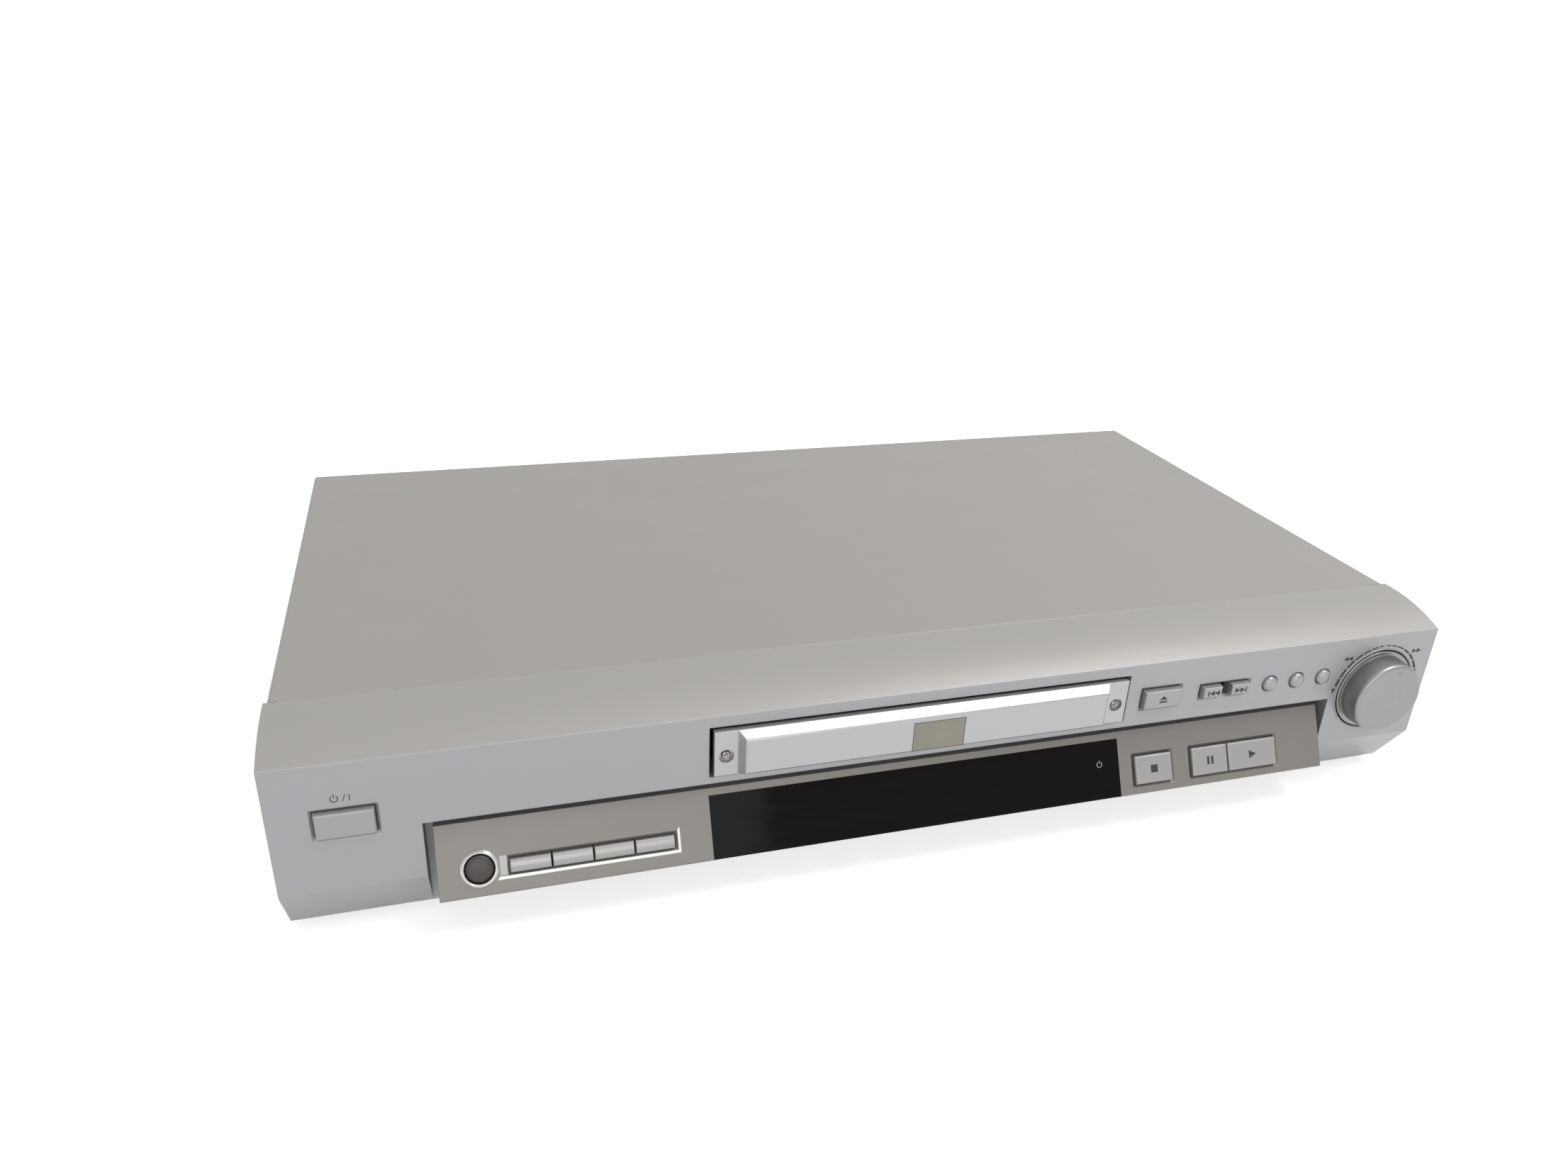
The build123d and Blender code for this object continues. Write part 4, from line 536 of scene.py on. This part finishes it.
# marks on the keys
spot = face_spot(2.0)
eject = [[(91.0, 54.6), (94.2, 54.6), (92.6, 56.2)], box_at(92.6, 53.7, 3.2, 0.65)]
shape("open_mark", [flat(spot, FRONT, p) for p in eject], "open_button", ink)
back = [box_at(112.0, KEY_ROW, 0.5, 2.2)]
back += [arrow_at(x, KEY_ROW, 2.2, 2.2, -1) for x in (113.5, 115.7)]
shape("skip_back_mark", [flat(spot, FRONT, p) for p in back], "skip_back_button", ink)
ahead = [arrow_at(x, KEY_ROW, 2.2, 2.2) for x in (124.7, 126.9)] + [box_at(128.4, KEY_ROW, 0.5, 2.2)]
shape("skip_forward_mark", [flat(spot, FRONT, p) for p in ahead], "skip_forward_button", ink)
spot = console_spot(1.0)
shape("stop_mark", [flat(spot, SLOPE_OUT, box_at(92.45, CONSOLE_ROW, 2.9, 2.9))], "stop_button", ink)
shape("pause_mark", [flat(spot, SLOPE_OUT, box_at(x, CONSOLE_ROW, 0.95, 3.1)) for x in (116.1, 117.9)],
      "pause_button", ink)
shape("play_mark", [flat(spot, SLOPE_OUT, arrow_at(136.0, CONSOLE_ROW, 3.2, 3.1))], "play_button", ink)

# scale of the shuttle knob: dashes that grow away from the top, and search arrows at both ends
dashes = []
x, z = KNOB
for side in (-1, 1):
    for n, (start, end, width) in enumerate(((2, 8, 0.45), (10, 18, 0.5), (20, 29, 0.6), (31, 41, 0.7),
                                             (43, 54, 0.8), (56, 68, 0.9), (70, 80, 1.0))):
        dashes += strips(x, z, DIAL_RADIUS + width / 2, width, side * start if side > 0 else -end,
                         side * end if side > 0 else -start, 3)
    reach = 19.6
    dashes.append([(x + side * (reach - 1.0), z + 2.4), (x + side * (reach + 1.0), z + 2.4),
                   (x + side * reach, z + 0.2)])
    for shift in (0.0, 2.1):
        dashes.append(arrow_at(x + side * (15.6 + shift - 0.4), z + 15.3, 2.0, 2.0, side))
shape("dial_scale", [flat(face_spot(0), FRONT, p) for p in dashes], "chassis", ink)

# rounded caps of the four mode buttons
for n in range(4):
    x = MODE_FIRST + n * MODE_STEP
    profile = [(-2.1, 0.2)] + [(-2.1 + 4.2 * k / 12, 0.85 + 0.55 * math.sin(math.pi * k / 12) ** 0.7)
                               for k in range(13)] + [(2.1, 0.2)]
    points = [on_console(x + end, 8.6 + up, out) for end in (-6.4, 6.4) for up, out in profile]
    count = len(profile)
    faces = [list(range(count)), list(range(count, 2 * count))]
    faces += [[k, (k + 1) % count, count + (k + 1) % count, count + k] for k in range(count)]
    build(f"mode_button_{n + 1}_cap", points, faces, f"mode_button_{n + 1}", looks["button_plastic"],
          40)

# painted highlights on the lips of the hollow that the memory and mode buttons sit in: thin light strips laid
# flat on the console's slope
spot = console_spot(0)
lip_highlights = [[(-149.2, 4.4), (-89.0, 4.4), (-89.9, 5.5), (-148.3, 5.5)],
        [(-89.0, 4.4), (-89.0, 13.2), (-89.9, 12.2), (-89.9, 5.5)]]
shape("mode_hollow_highlights", [flat(spot, SLOPE_OUT, p) for p in lip_highlights], "chassis", bright_trim_and_highlight, 0.08)
shape("mode_hollow", [flat(spot, SLOPE_OUT, [(-148.1, 5.7), (-145.6, 5.7), (-145.6, 12.2), (-148.1, 12.2)])],
      "chassis", looks["button_plastic"], 0.04)

# raw front edge of the cover, which catches the light in the seam behind the crown
seam = [Vector((x * MM, FACE + d * MM, z * MM)) for x in (-211, 211)
        for d, z in ((30.85, 74.2), (31.15, 74.2), (31.15, 74.92), (30.85, 74.92))]
build("cover_front_edge", seam, [[0, 1, 2, 3], [4, 5, 6, 7], [0, 1, 5, 4], [1, 2, 6, 5], [2, 3, 7, 6],
                                 [3, 0, 4, 7]], "chassis", bright_trim_and_highlight)

# bare plate in the middle of the tray front, over a dark sheet that paints its shadow, showing most on its
# right and lower sides
plate_out = 4.7
x, z, wide, high = 1.65, 54.6, 19.3, 11.4
shape("tray_plate_shadow_sheet", [flat(face_spot(plate_out), FRONT, box_at(x + 0.1, z - 0.1, wide, high))], "tray",
      painted_plate_shadow, 0.08)
shape("tray_plate", [flat(face_spot(plate_out + 0.08), FRONT, box_at(x, z, wide - 0.5, high - 0.5))], "tray",
      foil, 0.10)

# ------------------------------------------------------------------ turned parts that show
knob_profile = [(0, 8.45), (5.0, 8.5), (10.5, 8.62), (13.0, 8.78), (13.6, 8.8), (14.1, 8.62), (14.5, 8.22),
                (14.75, 7.65), (14.82, 6.9), (15.0, 3.6), (15.17, 0.9), (15.2, 0.4), (16.5, 0.4),
                (16.75, 0.2), (16.8, -0.1), (16.8, -2.5), (12.4, -2.5), (12.4, 6.4), (3.0, 6.4),
                (3.0, -11.5), (0, -11.5)]
knob = lathe("shuttle_knob_turned", [(on_face(*KNOB), FRONT, RIGHT)], knob_profile, "shuttle_knob",
             looks["knob_plastic"], 128)
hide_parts("shuttle_knob")
lathe("shuttle_knob_notch", [(on_face(KNOB[0] + 2.6, KNOB[1] + 11.7, 8.62), FRONT, RIGHT)],
      [(0, 0.03), (0.7, 0.04), (1.05, 0.16), (1.25, 0.14), (1.35, 0), (0, 0)], "shuttle_knob",
      looks["knob_plastic"], 32)
lathe("shuttle_knob_surround", [(on_face(*KNOB), FRONT, RIGHT)],
      [(17.35, -0.3), (17.9, -0.3), (18.0, 0.1), (17.8, 0.28), (17.5, 0.22), (17.35, 0)], "chassis",
      looks["button_plastic"], 128)

# the three round buttons, each at its share of the way from the tray to the knob's flange
row = KNOB[0] - 17.3 - SLOT_HALF
for name, part in (("shuffle_button", 0.650), ("repeat_button", 0.777), ("segment_button", 0.9035)):
    cap = lathe(name + "_turned", [(on_face(SLOT_HALF + part * row, 54.3), FRONT, RIGHT)],
                [(0, 1.8), (0.9, 1.76), (1.7, 1.6), (2.35, 1.3), (2.8, 0.85), (3.04, 0.3), (3.1, -0.3),
                 (3.1, -2.8), (4.1, -2.8), (4.1, -3.7), (1.7, -3.7), (1.7, -8.1), (0, -8.1)],
                name, looks["button_plastic"], 48)
    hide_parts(name)

memory_spot = [(on_console(-154.4, CONSOLE_ROW), SLOPE_OUT, RIGHT)]
cap = lathe("memory_button_turned", memory_spot,
            [(0, 1.05), (1.6, 1.0), (3.0, 0.84), (3.9, 0.58), (4.4, 0.22), (4.6, -0.4), (4.6, -2.3),
             (5.6, -2.3), (5.6, -3.2), (0, -3.2)], "memory_button", looks["memory_dark"], 64)
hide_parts("memory_button")
lathe("memory_ring", memory_spot, [(4.95, 0.2), (6.25, 0.0), (6.3, 0.05), (5.35, 0.95), (5.05, 0.9)],
      "chassis", bright_trim_and_highlight)

# feet, with the ring moulded in the sole and the sink of their screw
foot_profile = [(3.8, 2.5), (3.8, 0.0), (4.6, 0.0), (5.2, 0.35), (12.0, 0.35), (12.5, 0.0), (13.8, 0.0),
                (14.6, 0.35), (15.0, 1.2), (14.9, 4.5), (1.5, 4.5), (1.5, 2.5)]
feet = lathe("feet_turned", [(Vector((x * MM, FACE + d * MM, 0)), TOP, RIGHT)
                             for x in (-172, 172) for d in (52.0, 214.0)],
             foot_profile, "chassis", looks["foot_plastic"], 64)
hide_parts("feet")

# finger hollows at the front corners of the tray, closed by a thin dish that ends at the well of the disc
dish_profile = [(0, 53.9), (9.0, 53.95), (12.4, 54.3), (13.6, 54.9), (14.05, 55.5), (15.3, 55.5),
                (15.3, 52.9), (0, 52.9)]
dishes = lathe("tray_finger_dishes", [(Vector((x * MM, FACE + FINGER_DEPTH, 0)), TOP, RIGHT)
                                      for x in (-44, 44)],
               dish_profile, "tray", looks["tray_plastic"], 64)
for vertex in dishes.data.vertices:
    if math.hypot(vertex.co.x, vertex.co.y - FACE - SPINDLE_DEPTH) < WELL_RADIUS:
        vertex.co.z = min(vertex.co.z, WELL_FLOOR)

# screws of the cover, each with a driver recess
side_head = [(0, 1.0), (0.5, 1.0), (1.0, 0.97), (1.5, 0.9), (2.1, 0.72), (2.6, 0.4), (2.8, 0.1), (2.8, 0),
             (1.4, 0), (1.4, -4.0), (0, -4.0)]
rear_head = [(r, h * 1.6) for r, h in side_head[:8]] + [(1.4, 0), (1.4, -5.0), (0, -5.0)]
places = [(Vector((turn * COVER_SIDE, FACE + d * MM, 0.013)), Vector((turn, 0, 0)), BACK)
          for turn in (-1, 1) for d in (70.0, 205.0)]
low_head = [(r, h * 0.8 if h > 0 else h) for r, h in side_head]
side_screws = lathe("side_screws_turned", places, low_head, "chassis", looks["screw_steel"],
                    48, 1.5)
places = [(Vector((x * MM, FACE + COVER_END, 0.0695)), BACK, RIGHT) for x in (-180, 0, 180)]
lathe("rear_screws_turned", places, rear_head, "chassis", looks["screw_steel"], 48, 1.5)
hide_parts("cover_screws")

# recessed screws at the ends of the tray front
places = [(on_face(turn * 72.9, 54.5, -0.4), FRONT, RIGHT) for turn in (-1, 1)]
cap_screws = lathe("tray_front_screws_turned", places,
                   [(0, 1.3), (0.5, 1.3), (0.8, 1.28), (1.2, 1.2), (1.5, 0.95), (1.6, 0.6), (1.6, 0),
                    (0.7, 0), (0.7, -0.8), (0, -0.8)], "tray", looks["screw_dark"], 48, 0.9)
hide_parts("tray_front_screws")

# coloured faces of the rear jacks
for column, look in ((100, jack_yellow), (114, jack_white), (128, jack_red)):
    lathe(f"jack_collars_{column}", [(on_rear(column, row), BACK, RIGHT) for row in (26, 40)],
          [(4.25, -0.5), (6.0, -0.5), (6.0, 0.8), (5.6, 1.1), (4.25, 1.1)], "chassis", look,
          48)
lathe("video_collar", [(on_rear(150, 26), BACK, RIGHT)],
      [(4.6, -0.5), (6.3, -0.5), (6.3, 0.6), (5.9, 1.15), (4.8, 1.15), (4.6, 1.0)], "chassis",
      looks["socket_black"], 48)

# ------------------------------------------------------------------ floor, light and camera
def seen(tree):
    """A value that is 1 for what the camera sees, directly, reflected or through glass."""
    rays = tree.nodes.new("ShaderNodeLightPath")
    value = rays.outputs["Is Camera Ray"]
    for kind in ("Is Glossy Ray", "Is Transmission Ray"):
        either = tree.nodes.new("ShaderNodeMath")
        either.operation = "MAXIMUM"
        tree.links.new(value, either.inputs[0])
        tree.links.new(rays.outputs[kind], either.inputs[1])
        value = either.outputs["Value"]
    return value


# the floor is plain white wherever no shadow falls on it
floor_look = material("floor", (0.9, 0.9, 0.9), 0.0, 1.0)
tree = floor_look.node_tree
shader = tree.nodes["Principled BSDF"]
shader.inputs["Specular IOR Level"].default_value = 0.0
lift = tree.nodes.new("ShaderNodeEmission")
lift.inputs["Strength"].default_value = FLOOR_LIFT
both = tree.nodes.new("ShaderNodeAddShader")
switch = tree.nodes.new("ShaderNodeMixShader")
matt = tree.nodes.new("ShaderNodeBsdfDiffuse")
matt.inputs["Color"].default_value = (0.4, 0.4, 0.4, 1)
tree.links.new(shader.outputs["BSDF"], both.inputs[0])
tree.links.new(lift.outputs["Emission"], both.inputs[1])
tree.links.new(seen(tree), switch.inputs["Fac"])
tree.links.new(matt.outputs["BSDF"], switch.inputs[1])
tree.links.new(both.outputs["Shader"], switch.inputs[2])
tree.links.new(switch.outputs["Shader"], tree.nodes["Material Output"].inputs["Surface"])
floor = build("floor", [(-20, -20, 0), (20, -20, 0), (20, 20, 0), (-20, 20, 0)], [[0, 1, 2, 3]], "chassis",
              floor_look)

world = bpy.data.worlds.new("studio")
bpy.context.scene.world = world
world.use_nodes = True
tree = world.node_tree
background = tree.nodes["Background"]
background.inputs["Color"].default_value = (1.0, 1.0, 1.0, 1)
background.inputs["Strength"].default_value = 0.5
plain = tree.nodes.new("ShaderNodeBackground")
plain.inputs["Color"].default_value = (1.0, 1.0, 1.0, 1)
plain.inputs["Strength"].default_value = 1.0
switch = tree.nodes.new("ShaderNodeMixShader")
tree.links.new(seen(tree), switch.inputs["Fac"])
tree.links.new(background.outputs["Background"], switch.inputs[1])
tree.links.new(plain.outputs["Background"], switch.inputs[2])
tree.links.new(switch.outputs["Shader"], tree.nodes["World Output"].inputs["Surface"])


def lamp(name, spot, target, size, power):
    data = bpy.data.lights.new(name, "AREA")
    data.shape = "RECTANGLE"
    data.size = size[0]
    data.size_y = size[1]
    data.energy = power
    item = bpy.data.objects.new(name, data)
    bpy.context.collection.objects.link(item)
    item.location = spot
    item.rotation_euler = (Vector(target) - Vector(spot)).to_track_quat("-Z", "Y").to_euler()


lamp("overhead", (0.65, -0.35, 1.4), (0, -0.1, 0.05), (0.9, 0.5), 12)
lamp("front_fill", (-0.3, -1.6, 0.75), (0, 0, 0.03), (1.4, 0.9), 8)

camera = bpy.data.cameras.new("camera")
camera.sensor_width = 36
camera.lens = 26.30
camera.clip_start = 0.01
view = bpy.data.objects.new("camera", camera)
bpy.context.collection.objects.link(view)
view.location = (-0.15136, -0.42929, 0.26837)
view.rotation_euler = (1.12545, -0.03716, -0.28416)
bpy.context.scene.camera = view
bpy.context.scene.view_settings.view_transform = "Standard"
